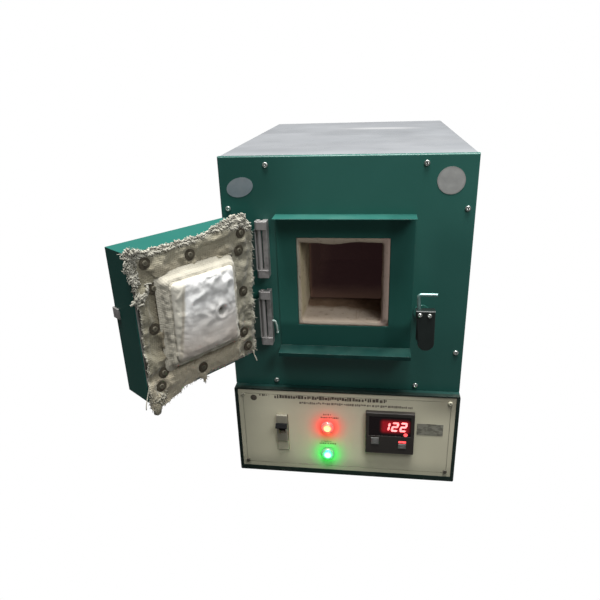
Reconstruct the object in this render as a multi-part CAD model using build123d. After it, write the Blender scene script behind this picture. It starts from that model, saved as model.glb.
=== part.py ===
from build123d import *
import math
import os

os.makedirs("parts", exist_ok=True)

# ---------------------------------------------------------------- driving dimensions, mm
# Working frame: x = 0 on the cabinet's centre plane, y = 0 on the face of the upper
# front panel with y growing to the rear, z = 0 on the underside of the base.
# Everything is written out moved back by Y_ORIGIN, so the origin of the written
# pieces is the centre of the base's underside.
CASE_W = 334.0          # width of base and cabinet
CASE_D = 478.8          # front panel face to rear of the cover
CASE_H = 492.0          # underside to top
BASE_H = 152.0          # height of the control base
BASE_NOSE = 13.8        # how far the base stands in front of the upper panel
Y_ORIGIN = (CASE_D - BASE_NOSE) / 2
SHEET = 1.5             # panel sheet
COVER_T = 1.2           # cover sheet

OPEN_X0, OPEN_X1 = -66.0, 61.0      # cut-out in the front panel
OPEN_Z0, OPEN_Z1 = 254.5, 383.6
THROAT_X0, THROAT_X1 = -59.5, 52.0  # clear throat
THROAT_Z0, THROAT_Z1 = 259.5, 376.0
THROAT_END = 92.0                   # the throat ends and the chamber begins
CH_X0, CH_X1 = -63.0, 55.5          # inside of the chamber
CH_Z0, CH_Z1 = 256.0, 379.5
CH_WALL = 10.0
CH_BACK = 290.0
BLOCK = 76.25                       # half side of throat block and wound chamber
MX, MZ = (THROAT_X0 + THROAT_X1) / 2, (THROAT_Z0 + THROAT_Z1) / 2
INS_BACK = 420.0

FRAME_X0, FRAME_X1 = -93.0, 93.0    # plate with the two ledges
FRAME_Z0, FRAME_Z1 = 221.0, 416.0   # top faces of the lower and the upper ledge
FRAME_T = 1.2
LEDGE = 27.0

DOOR_X0, DOOR_X1 = -88.1, 83.3      # door when shut
DOOR_Z0, DOOR_Z1 = 223.8, 413.0
DOOR_IN, DOOR_OUT = -6.1, -54.4     # inner and outer face when shut
HINGE_X, HINGE_Y = -114.4, -10.8    # hinge axis
OPEN_ANGLE = 126.6                  # how far the door stands open
CLOTH = 3.5                         # gasket cloth
PLUG_X0, PLUG_X1 = -56.1, 48.2      # plug, over its cloth
PLUG_Z0, PLUG_Z1 = 261.3, 374.7
PLUG_STEP = 6.0                     # set-back of the plug's nose
PLUG_SKIN = 2.5
PLUG_BASE_Y, PLUG_NOSE_Y = 5.9, 13.9

PIN_R = 1.6
KNUCKLE_R = 3.1
LUG_H = 11.0
HINGES = {"upper": (330.0, 409.0), "lower": (227.0, 309.0)}

LATCH_X, LATCH_Z = 106.0, 278.0     # latch pivot
LATCH_POST = 54.8                   # height of the post off the panel
ROD_R = 2.25

FASCIA_Y = -BASE_NOSE + 0.5         # front of the fascia
MCB_X = -95.4
TOGGLE_Y, TOGGLE_Z, TOGGLE_UP = -12.0, 85.0, 35.0
CTRL_X, CTRL_Z, CTRL_S = 68.0, 86.4, 72.0
LAMPS = {"red": (-25.9, 88.3), "green": (-25.7, 39.5)}


# ---------------------------------------------------------------- helpers
def bx(x0, x1, y0, y1, z0, z1):
    return Pos((x0 + x1) / 2, (y0 + y1) / 2, (z0 + z1) / 2) * Box(
        x1 - x0, y1 - y0, z1 - z0
    )


def cx(r, x0, x1, y, z):
    return Pos((x0 + x1) / 2, y, z) * Rot(0, 90, 0) * Cylinder(r, x1 - x0)


def cyl_y(r, y0, y1, x, z):
    return Pos(x, (y0 + y1) / 2, z) * Rot(90, 0, 0) * Cylinder(r, y1 - y0)


def cz(r, z0, z1, x, y):
    return Pos(x, y, (z0 + z1) / 2) * Cylinder(r, z1 - z0)


def pan_head(x, y, z, r, h, shank_r, shank_l):
    """Screw seated on the plane at y, head towards -y, with a crossed recess."""
    head = cyl_y(r, y - h, y, x, z)
    top = head.edges().filter_by(GeomType.CIRCLE).sort_by(Axis.Y)[0]
    head = fillet(top, h * 0.55)
    cross = bx(x - r * 0.55, x + r * 0.55, y - h - 0.1, y - h * 0.45, z - 0.35, z + 0.35)
    cross += bx(x - 0.35, x + 0.35, y - h - 0.1, y - h * 0.45, z - r * 0.55, z + r * 0.55)
    return head + cyl_y(shank_r, y, y + shank_l, x, z) - cross


def tube(points, r, bend):
    path = FilletPolyline(*points, radius=bend)
    start = Plane(origin=path @ 0, z_dir=path % 0)
    return sweep(start * Circle(r), path=path)


def door_place(shape):
    """From the shut position to where the door stands."""
    return Pos(HINGE_X, HINGE_Y, 0) * Rot(0, 0, -OPEN_ANGLE) * Pos(-HINGE_X, -HINGE_Y, 0) * shape


def save(name, *shapes, door=False):
    solids = []
    for s in shapes:
        if door:
            s = door_place(s)
        s = Pos(0, -Y_ORIGIN, 0) * s
        solids += list(s.solids())
    export_step(Compound(children=solids), f"parts/{name}.step")


W2 = CASE_W / 2

# ---------------------------------------------------------------- base
casing = bx(-W2, W2, -BASE_NOSE, CASE_D, 0, BASE_H)
casing = fillet(casing.edges().filter_by(Axis.Y), 2.0)
casing -= bx(-W2 + SHEET, W2 - SHEET, -BASE_NOSE + SHEET, CASE_D + 1, SHEET, BASE_H - SHEET)
casing -= bx(-W2 + 5, W2 - 5, -BASE_NOSE - 1, -BASE_NOSE + 2, 8.5, BASE_H - 2.6)
save("base_casing", casing)

fx0, fx1, fz0, fz1 = -W2 + 5.2, W2 - 5.2, 8.7, BASE_H - 2.8
fascia = bx(fx0, fx1, FASCIA_Y, FASCIA_Y + 2.0, fz0, fz1)
inset = 6.5
groove = bx(fx0 + inset, fx1 - inset, FASCIA_Y - 1, FASCIA_Y + 0.45, fz0 + inset, fz1 - inset)
groove -= bx(fx0 + inset + 0.9, fx1 - inset - 0.9, FASCIA_Y - 2, FASCIA_Y + 1, fz0 + inset + 0.9, fz1 - inset - 0.9)
fascia -= groove
fascia -= bx(MCB_X - 9.1, MCB_X + 9.1, -20, 0, 43.1, 107.9)
fascia -= bx(CTRL_X - 34, CTRL_X + 34, -20, 0, CTRL_Z - 34, CTRL_Z + 34)
for lx, lz in LAMPS.values():
    fascia -= cyl_y(7.3, -20, 0, lx, lz)
FASCIA_SCREWS = [(-153.8, 18.0), (153.5, 18.0), (-153.8, 140.0), (153.5, 140.0)]
for sx, sz in FASCIA_SCREWS:
    fascia -= cyl_y(1.6, -20, 0, sx, sz)
save("control_fascia", fascia)
save("fascia_screws", *[pan_head(sx, FASCIA_Y, sz, 3.2, 1.9, 1.5, 9.0) for sx, sz in FASCIA_SCREWS])

brp = bx(-W2 + 1.7, W2 - 1.7, CASE_D - 3.0, CASE_D - 1.5, 1.7, BASE_H - 1.7)
for i in range(9):
    for row in (96.0, 118.0):
        vx = -64.0 + i * 16.0
        brp -= bx(vx - 2, vx + 2, CASE_D - 5, CASE_D + 5, row - 8, row + 8)
brp -= cyl_y(6.0, CASE_D - 10, CASE_D + 5, -110, 55)
brp -= cyl_y(2.5, CASE_D - 10, CASE_D + 5, 110, 32)
REAR_SCREWS = [(x, z) for x in (-155.0, 155.0) for z in (12.0, 140.0)]
UPPER_REAR = [(x, z) for x in (-152.0, 152.0) for z in (168.0, 322.0, 476.0)]
for sx, sz in REAR_SCREWS:
    brp -= cyl_y(1.6, CASE_D - 10, CASE_D + 5, sx, sz)
save("base_rear_panel", brp)

# ---------------------------------------------------------------- upper cabinet
floor = bx(-W2 + 1.4, W2 - 1.4, 8.2, CASE_D - 3.2, BASE_H + 0.1, BASE_H + 1.6)
floor -= cz(9.0, BASE_H - 5, BASE_H + 5, -120, 448)
save("cabinet_floor", floor)

PZ0 = BASE_H + 0.2
panel = bx(-W2, W2, 0, 8.0, PZ0, CASE_H)
panel = fillet(panel.edges().filter_by(Axis.X).sort_by(Axis.Z)[-2:].sort_by(Axis.Y)[:1]
               + panel.edges().filter_by(Axis.Z).sort_by(Axis.Y)[:2], 1.6)
panel -= bx(-W2 + SHEET, W2 - SHEET, SHEET, 9, PZ0 + SHEET, CASE_H - SHEET)
panel -= bx(OPEN_X0 - 0.2, OPEN_X1 + 0.2, -1, 3, OPEN_Z0 - 0.2, OPEN_Z1 + 0.2)
PANEL_SCREWS = [(-103, 481), (103, 481), (-157, 423.5), (157, 423.5),
                (-157, 216.5), (157, 216.5), (-103, 160.5), (103, 160.5)]
for sx, sz in PANEL_SCREWS:
    panel -= cyl_y(1.7, -1, 3, sx, sz)
save("front_panel", panel)
save("front_panel_screws", *[pan_head(sx, 0, sz, 3.6, 2.3, 1.7, 1.7) for sx, sz in PANEL_SCREWS])

cover = bx(-W2, W2, 8.3, CASE_D, BASE_H + 0.2, CASE_H)
cover = fillet(cover.edges().filter_by(Axis.Y).sort_by(Axis.Z)[-2:], 3.0)
inner = bx(-W2 + COVER_T, W2 - COVER_T, 8, CASE_D + 1, BASE_H - 1, CASE_H - COVER_T)
inner = fillet(inner.edges().filter_by(Axis.Y).sort_by(Axis.Z)[-2:], 1.8)
save("outer_cover", cover - inner)

rear = bx(-W2 + 1.4, W2 - 1.4, CASE_D - 3.0, CASE_D - 1.6, BASE_H + 0.4, CASE_H - 1.4)
rear = fillet(rear.edges().filter_by(Axis.Y).sort_by(Axis.Z)[-2:], 2.4)
for sx, sz in UPPER_REAR:
    rear -= cyl_y(1.6, CASE_D - 10, CASE_D + 5, sx, sz)
for i in range(8):
    vx = -49.0 + i * 14.0
    rear -= bx(vx - 2, vx + 2, CASE_D - 5, CASE_D + 5, 430, 462)
save("rear_panel", rear)


def rear_screw(x, z, y):
    head = cyl_y(3.2, y, y + 1.9, x, z)
    head = fillet(head.edges().filter_by(GeomType.CIRCLE).sort_by(Axis.Y)[-1], 1.0)
    head -= bx(x - 1.8, x + 1.8, y + 1.1, y + 3, z - 0.35, z + 0.35)
    head -= bx(x - 0.35, x + 0.35, y + 1.1, y + 3, z - 1.8, z + 1.8)
    return head + cyl_y(1.55, y - 7, y, x, z)


save("rear_panel_screws", *[rear_screw(x, z, CASE_D - 1.5) for x, z in REAR_SCREWS],
     *[rear_screw(x, z, CASE_D - 1.6) for x, z in UPPER_REAR])

# folded plate round the mouth, with its two ledges
frame = bx(FRAME_X0, FRAME_X1, -FRAME_T, 0, FRAME_Z0 - FRAME_T, FRAME_Z1)
frame += bx(FRAME_X0, FRAME_X1, -LEDGE, 0, FRAME_Z1 - FRAME_T, FRAME_Z1)
frame += bx(FRAME_X0, FRAME_X1, -LEDGE, 0, FRAME_Z0 - FRAME_T, FRAME_Z0)
frame += bx(FRAME_X0, FRAME_X1, -LEDGE, -LEDGE + FRAME_T, FRAME_Z0 - 6.0, FRAME_Z0)
frame -= bx(OPEN_X0 - 0.2, OPEN_X1 + 0.2, -3, 1, OPEN_Z0 - 0.2, OPEN_Z1 + 0.2)
save("door_frame_plate", frame)

# ---------------------------------------------------------------- muffle and lining
throat = bx(MX - BLOCK, MX + BLOCK, 1.7, THROAT_END, MZ - BLOCK, MZ + BLOCK)
throat += bx(OPEN_X0, OPEN_X1, -0.9, 2.0, OPEN_Z0, OPEN_Z1)
throat -= bx(THROAT_X0, THROAT_X1, -5, THROAT_END + 1, THROAT_Z0, THROAT_Z1)
save("muffle_throat", throat)

chamber = bx(CH_X0 - CH_WALL, CH_X1 + CH_WALL, THROAT_END + 0.2, CH_BACK + CH_WALL,
             CH_Z0 - CH_WALL, CH_Z1 + CH_WALL)
chamber = fillet(chamber.edges().filter_by(Axis.Y), 8.0)
chamber -= bx(CH_X0, CH_X1, THROAT_END - 1, CH_BACK, CH_Z0, CH_Z1)
TC_X, TC_Z = 30.0, 362.0
chamber -= cyl_y(4.2, CH_BACK - 5, CH_BACK + 20, TC_X, TC_Z)
save("muffle_chamber", chamber)

# heating wire wound round the chamber
WIRE_R = 1.4
wx0, wx1 = CH_X0 - CH_WALL - WIRE_R - 0.2, CH_X1 + CH_WALL + WIRE_R + 0.2
wz0, wz1 = CH_Z0 - CH_WALL - WIRE_R - 0.2, CH_Z1 + CH_WALL + WIRE_R + 0.2
turns, pitch, y = 10, 18.0, 106.0
pts = []
for i in range(turns):
    for k, (px, pz) in enumerate(((wx0, wz0), (wx1, wz0), (wx1, wz1), (wx0, wz1))):
        pts.append((px, y + (i + k / 4) * pitch, pz))
save("heating_coil", tube(pts, WIRE_R, 8.0))

bl, br, bb, bt = MX - BLOCK - 0.2, MX + BLOCK + 0.2, MZ - BLOCK - 0.2, MZ + BLOCK + 0.2
IN_X, IN_Z0, IN_Z1 = W2 - SHEET - 0.5, BASE_H + 2.0, CASE_H - SHEET - 0.5
save("insulation_left", bx(-IN_X, bl, 1.8, INS_BACK, IN_Z0, IN_Z1))
save("insulation_right", bx(br, IN_X, 1.8, INS_BACK, IN_Z0, IN_Z1))
save("insulation_top", bx(bl, br, 1.8, INS_BACK, bt, IN_Z1))
save("insulation_bottom", bx(bl, br, 1.8, INS_BACK, IN_Z0, bb))
back_board = bx(bl, br, CH_BACK + CH_WALL + 0.2, INS_BACK, bb, bt)
back_board -= cyl_y(4.2, CH_BACK, INS_BACK + 5, TC_X, TC_Z)
save("insulation_rear", back_board)

sheath = cyl_y(4.0, 268.0, INS_BACK + 6, TC_X, TC_Z)
sheath = fillet(sheath.edges().filter_by(GeomType.CIRCLE).sort_by(Axis.Y)[0], 3.0)
head = cyl_y(15.0, INS_BACK + 0.2, INS_BACK + 26, TC_X, TC_Z)
head = fillet(head.edges().filter_by(GeomType.CIRCLE).sort_by(Axis.Y)[-1], 3.0)
head -= cyl_y(4.0, INS_BACK - 1, INS_BACK + 6, TC_X, TC_Z)
save("thermocouple", sheath, head)
term = bx(-75, -15, INS_BACK + 0.2, INS_BACK + 24, 300, 322)
for tx in (-60, -30):
    term -= cyl_y(4.0, INS_BACK + 16, INS_BACK + 30, tx, 311)
save("heater_terminal_block", term)

# ---------------------------------------------------------------- parts in the base
relay = bx(60, 105, 170, 245, SHEET, 62)
relay += bx(64, 101, 178, 237, 61, 74)
save("power_contactor", fillet(relay.edges().filter_by(Axis.Z), 1.5))
strip = bx(-70, 20, 330, 352, SHEET, 12)
for i in range(7):
    sx = -70 + i * 15
    strip += bx(sx - 1 if i else sx, sx + 1 if i < 6 else sx, 330, 352, 11, 24)
save("terminal_strip", strip)

gy = CASE_D - 1.5
gland = cyl_y(10.5, gy, gy + 3, -110, 55)
nut = Pos(-110, gy + 7, 55) * Rot(90, 0, 0) * extrude(RegularPolygon(10.0, 6), amount=4, both=True)
gland += nut + cyl_y(8.5, gy + 8, gy + 17, -110, 55)
gland += cyl_y(5.9, gy - 12, gy + 1, -110, 55)
gland -= cyl_y(3.6, gy - 14, gy + 20, -110, 55)
locknut = Pos(-110, gy - 5, 55) * Rot(90, 0, 0) * extrude(RegularPolygon(10.0, 6), amount=2, both=True)
locknut -= cyl_y(5.9, gy - 10, gy, -110, 55)
save("cable_gland", gland, locknut)
stud = cyl_y(2.4, gy - 8, gy + 13, 110, 32)
en = Pos(110, gy + 3, 32) * Rot(90, 0, 0) * extrude(RegularPolygon(4.6, 6), amount=2, both=True)
en += cyl_y(6.0, gy, gy + 1.2, 110, 32)
save("earth_terminal", stud, en - cyl_y(2.4, gy - 5, gy + 20, 110, 32))

lead1 = tube([(-110, gy - 14, 55), (-110, 440, 55), (-80, 405, 30), (-62, 375, 20), (-62, 353.5, 18)], 2.6, 12)
lead2 = tube([(-47, 329, 18), (-47, 300, 22), (-70, 200, 40), (-95.4, 120, 60), (-95.4, 62.5, 70)], 2.2, 14)
lead3 = tube([(-17, 329, 18), (-17, 300, 22), (20, 240, 40), (40, 215, 50), (58.5, 210, 52)], 2.2, 12)
save("internal_leads", lead1, lead2, lead3)

# ---------------------------------------------------------------- controls on the fascia
mcb = bx(MCB_X - 8.8, MCB_X + 8.8, FASCIA_Y + 2.3, 58, 35, 117)
mcb += bx(MCB_X - 8.5, MCB_X + 8.5, -18.3, FASCIA_Y + 2.3, 62.5, 107.6)
mcb += bx(MCB_X - 8.5, MCB_X + 8.5, -14.8, FASCIA_Y + 2.3, 43.4, 62.5)
mcb -= cx(6.4, MCB_X - 5.0, MCB_X + 5.0, TOGGLE_Y, TOGGLE_Z)
mcb -= bx(MCB_X - 5.0, MCB_X + 5.0, -20, TOGGLE_Y, TOGGLE_Z - 6.4, TOGGLE_Z + 6.4)
mcb -= bx(MCB_X - 5.0, MCB_X + 5.0, -20, -15.5, TOGGLE_Z - 9.5, TOGGLE_Z + 9.5)
save("breaker_body", mcb)
tog = cx(6.0, MCB_X - 4.6, MCB_X + 4.6, TOGGLE_Y, TOGGLE_Z)
tog += bx(MCB_X - 4.6, MCB_X + 4.6, TOGGLE_Y - 14, TOGGLE_Y, TOGGLE_Z - 2.4, TOGGLE_Z + 2.4)
tbar = bx(MCB_X - 8.6, MCB_X + 8.6, TOGGLE_Y - 17.5, TOGGLE_Y - 12.2, TOGGLE_Z - 4.2, TOGGLE_Z + 4.2)
tog += fillet(tbar.edges().filter_by(Axis.X), 1.2)
tog = Pos(0, TOGGLE_Y, TOGGLE_Z) * Rot(-TOGGLE_UP, 0, 0) * Pos(0, -TOGGLE_Y, -TOGGLE_Z) * tog
save("breaker_toggle", tog)

lamp_bodies = []
for colour, (lx, lz) in LAMPS.items():
    ring = cyl_y(9.8, FASCIA_Y - 3.6, FASCIA_Y, lx, lz)
    ring = fillet(ring.edges().filter_by(GeomType.CIRCLE).sort_by(Axis.Y)[0], 1.2)
    ring += cyl_y(7.2, FASCIA_Y, FASCIA_Y + 26, lx, lz)
    ring -= cyl_y(6.8, FASCIA_Y - 10, FASCIA_Y - 0.6, lx, lz)
    lamp_bodies.append(ring)
    lens = cyl_y(6.75, FASCIA_Y - 3.4, FASCIA_Y - 0.6, lx, lz)
    dome = Pos(lx, FASCIA_Y - 3.4 + 4.6, lz) * Sphere(8.0)
    dome &= bx(lx - 10, lx + 10, FASCIA_Y - 12, FASCIA_Y - 3.3, lz - 10, lz + 10)
    save(f"{colour}_lamp_lens", lens + dome)
save("lamp_bodies", *lamp_bodies)

c0x, c1x, c0z, c1z = CTRL_X - CTRL_S / 2, CTRL_X + CTRL_S / 2, CTRL_Z - CTRL_S / 2, CTRL_Z + CTRL_S / 2
CF = FASCIA_Y - 7.0
ctrl = bx(c0x, c1x, CF, FASCIA_Y, c0z, c1z)
ctrl = fillet(ctrl.edges().filter_by(Axis.Y) + ctrl.edges().filter_by(Axis.X).sort_by(Axis.Y)[:2]
              + ctrl.edges().filter_by(Axis.Z).sort_by(Axis.Y)[:2], 1.4)
ctrl += bx(CTRL_X - 33.6, CTRL_X + 33.6, FASCIA_Y, 60, CTRL_Z - 33.6, CTRL_Z + 33.6)
WIN = (c0x + 5, c1x - 5, c0z + 32, c1z - 6)
ctrl -= bx(WIN[0], WIN[1], CF - 1, CF + 1.6, WIN[2], WIN[3])
KEYS = {"left": (40.5, 52.0, 67.5, 79.0), "right": (81.0, 92.5, 61.5, 69.5)}
for kx0, kx1, kz0, kz1 in KEYS.values():
    ctrl -= bx(kx0 - 0.3, kx1 + 0.3, CF - 1, CF + 4.6, kz0 - 0.3, kz1 + 0.3)
save("controller_case", ctrl)
save("controller_window", bx(WIN[0] + 0.05, WIN[1] - 0.05, CF + 0.3, CF + 1.6, WIN[2] + 0.05, WIN[3] - 0.05))
for side, (kx0, kx1, kz0, kz1) in KEYS.items():
    key = bx(kx0, kx1, CF - 1.0, CF + 3.4, kz0, kz1)
    key = fillet(key.edges().filter_by(Axis.X).sort_by(Axis.Y)[:2] + key.edges().filter_by(Axis.Z).sort_by(Axis.Y)[:2], 0.5)
    save(f"controller_key_{side}", key)

# blank plates: one on the fascia, an oval and a round one on the upper panel
oval = Plane.XZ * (Pos(-139, 452) * Rot(0, 0, 17) * Ellipse(18.3, 12.6))
labels = [bx(108, 146, FASCIA_Y - 0.4, FASCIA_Y, 83, 103),
          extrude(oval, amount=0.4),
          cyl_y(17.5, -0.4, 0, 134, 459)]
save("blank_plates", *labels)

# ---------------------------------------------------------------- hinges
pins = []
for which, (z0, z1) in HINGES.items():
    bar = bx(-109.8, -103.0, -12.9, 0, z0, z1)
    bar = fillet(bar.edges().filter_by(Axis.Z).sort_by(Axis.Y)[:2], 1.0)
    for a, b in ((z0, z0 + LUG_H), (z1 - LUG_H, z1)):
        lug = bx(-119.6, -103.0, -15.6, -5.4, a, b)
        lug = fillet(lug.edges().filter_by(Axis.Z).sort_by(Axis.X)[:2], 3.5)
        bar += lug
    bar -= cz(PIN_R, z0 - 5, z1 + 5, HINGE_X, HINGE_Y)
    save(f"hinge_bracket_{which}", bar)
    pin = cz(PIN_R, z0 - 1.5, z1, HINGE_X, HINGE_Y)
    pin += cz(3.0, z1, z1 + 1.8, HINGE_X, HINGE_Y)
    pins.append(pin)
    k0, k1 = z0 + LUG_H + 0.4, z1 - LUG_H - 0.4
    leaf = cz(KNUCKLE_R, k0, k1, HINGE_X, HINGE_Y)
    leaf += bx(HINGE_X, DOOR_X0, -16.2, -13.7, k0, k1)
    leaf += bx(DOOR_X0 - 2.6, DOOR_X0, -42.0, -13.7, k0, k1)
    leaf -= cz(PIN_R + 0.05, k0 - 1, k1 + 1, HINGE_X, HINGE_Y)
    for dz in (-16, 16):
        leaf -= cx(1.8, DOOR_X0 - 10, DOOR_X0 + 1, -31, (k0 + k1) / 2 + dz)
    save(f"hinge_leaf_{which}", leaf, door=True)
save("hinge_pins", *pins)


def side_screw(y, z):
    head = cx(3.2, DOOR_X0 - 4.6, DOOR_X0 - 2.6, y, z)
    head = fillet(head.edges().filter_by(GeomType.CIRCLE).sort_by(Axis.X)[0], 1.1)
    head -= bx(DOOR_X0 - 5, DOOR_X0 - 3.7, y - 1.9, y + 1.9, z - 0.35, z + 0.35)
    head -= bx(DOOR_X0 - 5, DOOR_X0 - 3.7, y - 0.35, y + 0.35, z - 1.9, z + 1.9)
    return head + cx(1.75, DOOR_X0 - 2.6, DOOR_X0 + 5, y, z)


SIDE = [(-31, (z0 + z1) / 2 + dz) for z0, z1 in HINGES.values() for dz in (-16, 16)]
save("hinge_leaf_screws", *[side_screw(y, z) for y, z in SIDE], door=True)

# bonding wire from the lower hinge bracket into the front panel
wire = tube([(-103.0, -6.5, 262.0), (-99.6, -6.5, 262.0), (-97.6, -5.6, 254.0), (-97.3, -3.3, 242.5)], 1.5, 3.0)
wire += Pos(-97.3, -3.3, 242.5) * Sphere(2.1)
save("bonding_wire", wire)

# ---------------------------------------------------------------- door (drawn shut)
shell = bx(DOOR_X0, DOOR_X1, DOOR_OUT, DOOR_IN, DOOR_Z0, DOOR_Z1)
front_edges = shell.faces().sort_by(Axis.Y)[0].edges()
shell = fillet(front_edges, 2.0)
shell -= bx(DOOR_X0 + SHEET, DOOR_X1 - SHEET, DOOR_OUT + SHEET, 0, DOOR_Z0 + SHEET, DOOR_Z1 - SHEET)
SCREW_UZ = [(10.6, 402.8), (90.5, 393.3), (151.2, 398.2), (15.9, 380.1), (13.2, 322.7), (17.5, 264.0),
            (12.2, 241.0), (144.6, 365.9), (150.6, 316.5), (146.5, 256.2), (152.6, 239.5), (89.4, 239.4)]
SCREWS = [(DOOR_X0 + u, z) for u, z in SCREW_UZ]
for y, z in SIDE:
    shell -= cx(1.75, DOOR_X0 - 1, DOOR_X0 + 3, y, z)
BOLT_X, BOLT_Z = DOOR_X0 + 64.0, 316.5
KNOB_X, KNOB_Z = 35.0, 318.0
shell -= cyl_y(2.5, DOOR_OUT - 1, DOOR_OUT + 3, BOLT_X, BOLT_Z)
shell -= cyl_y(2.5, DOOR_OUT - 1, DOOR_OUT + 3, KNOB_X, KNOB_Z)
save("door_shell", shell, door=True)

ix0, ix1, iz0, iz1 = DOOR_X0 + SHEET + 0.1, DOOR_X1 - SHEET - 0.1, DOOR_Z0 + SHEET + 0.1, DOOR_Z1 - SHEET - 0.1
plate = bx(ix0, ix1, DOOR_IN - SHEET, DOOR_IN, iz0, iz1)
for sx, sz in SCREWS:
    plate -= cyl_y(1.5, -10, 0, sx, sz)
plate -= cyl_y(2.5, -10, 0, BOLT_X, BOLT_Z)
save("door_inner_plate", plate, door=True)
board = bx(ix0, ix1, DOOR_OUT + SHEET + 0.1, DOOR_IN - SHEET - 0.1, iz0, iz1)
board -= cyl_y(2.5, DOOR_OUT, DOOR_IN, BOLT_X, BOLT_Z)
board -= cyl_y(5.2, DOOR_OUT, DOOR_OUT + 8.5, KNOB_X, KNOB_Z)
for sx, sz in SCREWS:
    board -= cyl_y(1.7, -16.5, -5, sx, sz)
for y, z in SIDE:
    board -= cx(2.0, DOOR_X0, DOOR_X0 + 6, y, z)
save("door_insulation", board, door=True)

s = PLUG_SKIN
core = bx(PLUG_X0 + s, PLUG_X1 - s, DOOR_IN, PLUG_BASE_Y - s, PLUG_Z0 + s, PLUG_Z1 - s)
core += bx(PLUG_X0 + s + PLUG_STEP, PLUG_X1 - s - PLUG_STEP, DOOR_IN, PLUG_NOSE_Y - s,
           PLUG_Z0 + s + PLUG_STEP, PLUG_Z1 - s - PLUG_STEP)
core -= cyl_y(2.5, -10, 20, BOLT_X, BOLT_Z)
core -= cyl_y(6.5, PLUG_NOSE_Y - s - 6.0, 20, BOLT_X, BOLT_Z)
save("door_plug", core, door=True)
skin = bx(PLUG_X0, PLUG_X1, DOOR_IN, PLUG_BASE_Y, PLUG_Z0, PLUG_Z1)
skin += bx(PLUG_X0 + PLUG_STEP, PLUG_X1 - PLUG_STEP, DOOR_IN, PLUG_NOSE_Y,
           PLUG_Z0 + PLUG_STEP, PLUG_Z1 - PLUG_STEP)
t = s - 0.1
hollow = bx(PLUG_X0 + t, PLUG_X1 - t, DOOR_IN - 1, PLUG_BASE_Y - t, PLUG_Z0 + t, PLUG_Z1 - t)
hollow += bx(PLUG_X0 + t + PLUG_STEP, PLUG_X1 - t - PLUG_STEP, DOOR_IN - 1, PLUG_NOSE_Y - t,
             PLUG_Z0 + t + PLUG_STEP, PLUG_Z1 - t - PLUG_STEP)
skin -= hollow
skin -= cyl_y(6.5, PLUG_NOSE_Y - 6, 20, BOLT_X, BOLT_Z)
save("plug_cloth", skin, door=True)

cloth = bx(DOOR_X0 + 0.4, DOOR_X1 - 0.4, DOOR_IN, DOOR_IN + CLOTH, DOOR_Z0 + 0.4, DOOR_Z1 - 0.4)
cloth -= bx(PLUG_X0 - 0.3, PLUG_X1 + 0.3, -10, 5, PLUG_Z0 - 0.3, PLUG_Z1 + 0.3)
washers, screws = [], []
for sx, sz in SCREWS:
    cloth -= cyl_y(2.0, -10, 5, sx, sz)
    cloth -= cyl_y(7.3, DOOR_IN + 1.5, 5, sx, sz)
    w = cyl_y(7.0, DOOR_IN + 1.5, DOOR_IN + 2.5, sx, sz) - cyl_y(1.7, -10, 5, sx, sz)
    washers.append(w)
    hd = cyl_y(3.3, DOOR_IN + 2.5, DOOR_IN + 3.8, sx, sz)
    hd = fillet(hd.edges().filter_by(GeomType.CIRCLE).sort_by(Axis.Y)[-1], 0.8)
    hd -= bx(sx - 1.9, sx + 1.9, DOOR_IN + 3.2, 0, sz - 0.35, sz + 0.35)
    hd -= bx(sx - 0.35, sx + 0.35, DOOR_IN + 3.2, 0, sz - 1.9, sz + 1.9)
    screws.append(hd + cyl_y(1.5, DOOR_IN - 8, DOOR_IN + 2.5, sx, sz))
save("gasket_cloth", cloth, door=True)
save("cloth_washers", *washers, door=True)
save("cloth_screws", *screws, door=True)

bolt = cyl_y(2.45, DOOR_OUT - 6, PLUG_NOSE_Y - 8.4, BOLT_X, BOLT_Z)
bolt += cyl_y(5.6, PLUG_NOSE_Y - 8.4, PLUG_NOSE_Y - 5.6, BOLT_X, BOLT_Z)
bn = Pos(BOLT_X, DOOR_OUT - 2.2, BOLT_Z) * Rot(90, 0, 0) * extrude(RegularPolygon(4.6, 6), amount=1.6, both=True)
bn += cyl_y(6.0, DOOR_OUT - 0.9, DOOR_OUT, BOLT_X, BOLT_Z)
save("plug_bolt", bolt, bn - cyl_y(2.45, DOOR_OUT - 8, DOOR_OUT + 1, BOLT_X, BOLT_Z), door=True)

keeper = bx(76.0, DOOR_X1 + 2.0, DOOR_OUT - 2.2, DOOR_OUT, 325.0, 338.0)
keeper += bx(DOOR_X1, DOOR_X1 + 2.0, DOOR_OUT - 2.2, DOOR_OUT + 12.0, 325.0, 338.0)
keeper = fillet(keeper.edges().filter_by(Axis.Z).sort_by(Axis.Y)[:2], 1.5)
save("door_keeper", keeper, door=True)

knob = cyl_y(9.0, DOOR_OUT - 14, DOOR_OUT, KNOB_X, KNOB_Z)
ball = cyl_y(16.0, DOOR_OUT - 34, DOOR_OUT - 14, KNOB_X, KNOB_Z)
ball = fillet(ball.edges().filter_by(GeomType.CIRCLE), 6.0)
knob = knob + ball - cyl_y(2.45, DOOR_OUT - 20, DOOR_OUT + 1, KNOB_X, KNOB_Z)
ks = cyl_y(2.45, DOOR_OUT - 20, DOOR_OUT + SHEET, KNOB_X, KNOB_Z)
ks += cyl_y(5.0, DOOR_OUT + SHEET, DOOR_OUT + SHEET + 3, KNOB_X, KNOB_Z)
save("door_knob", knob, ks, door=True)

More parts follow.
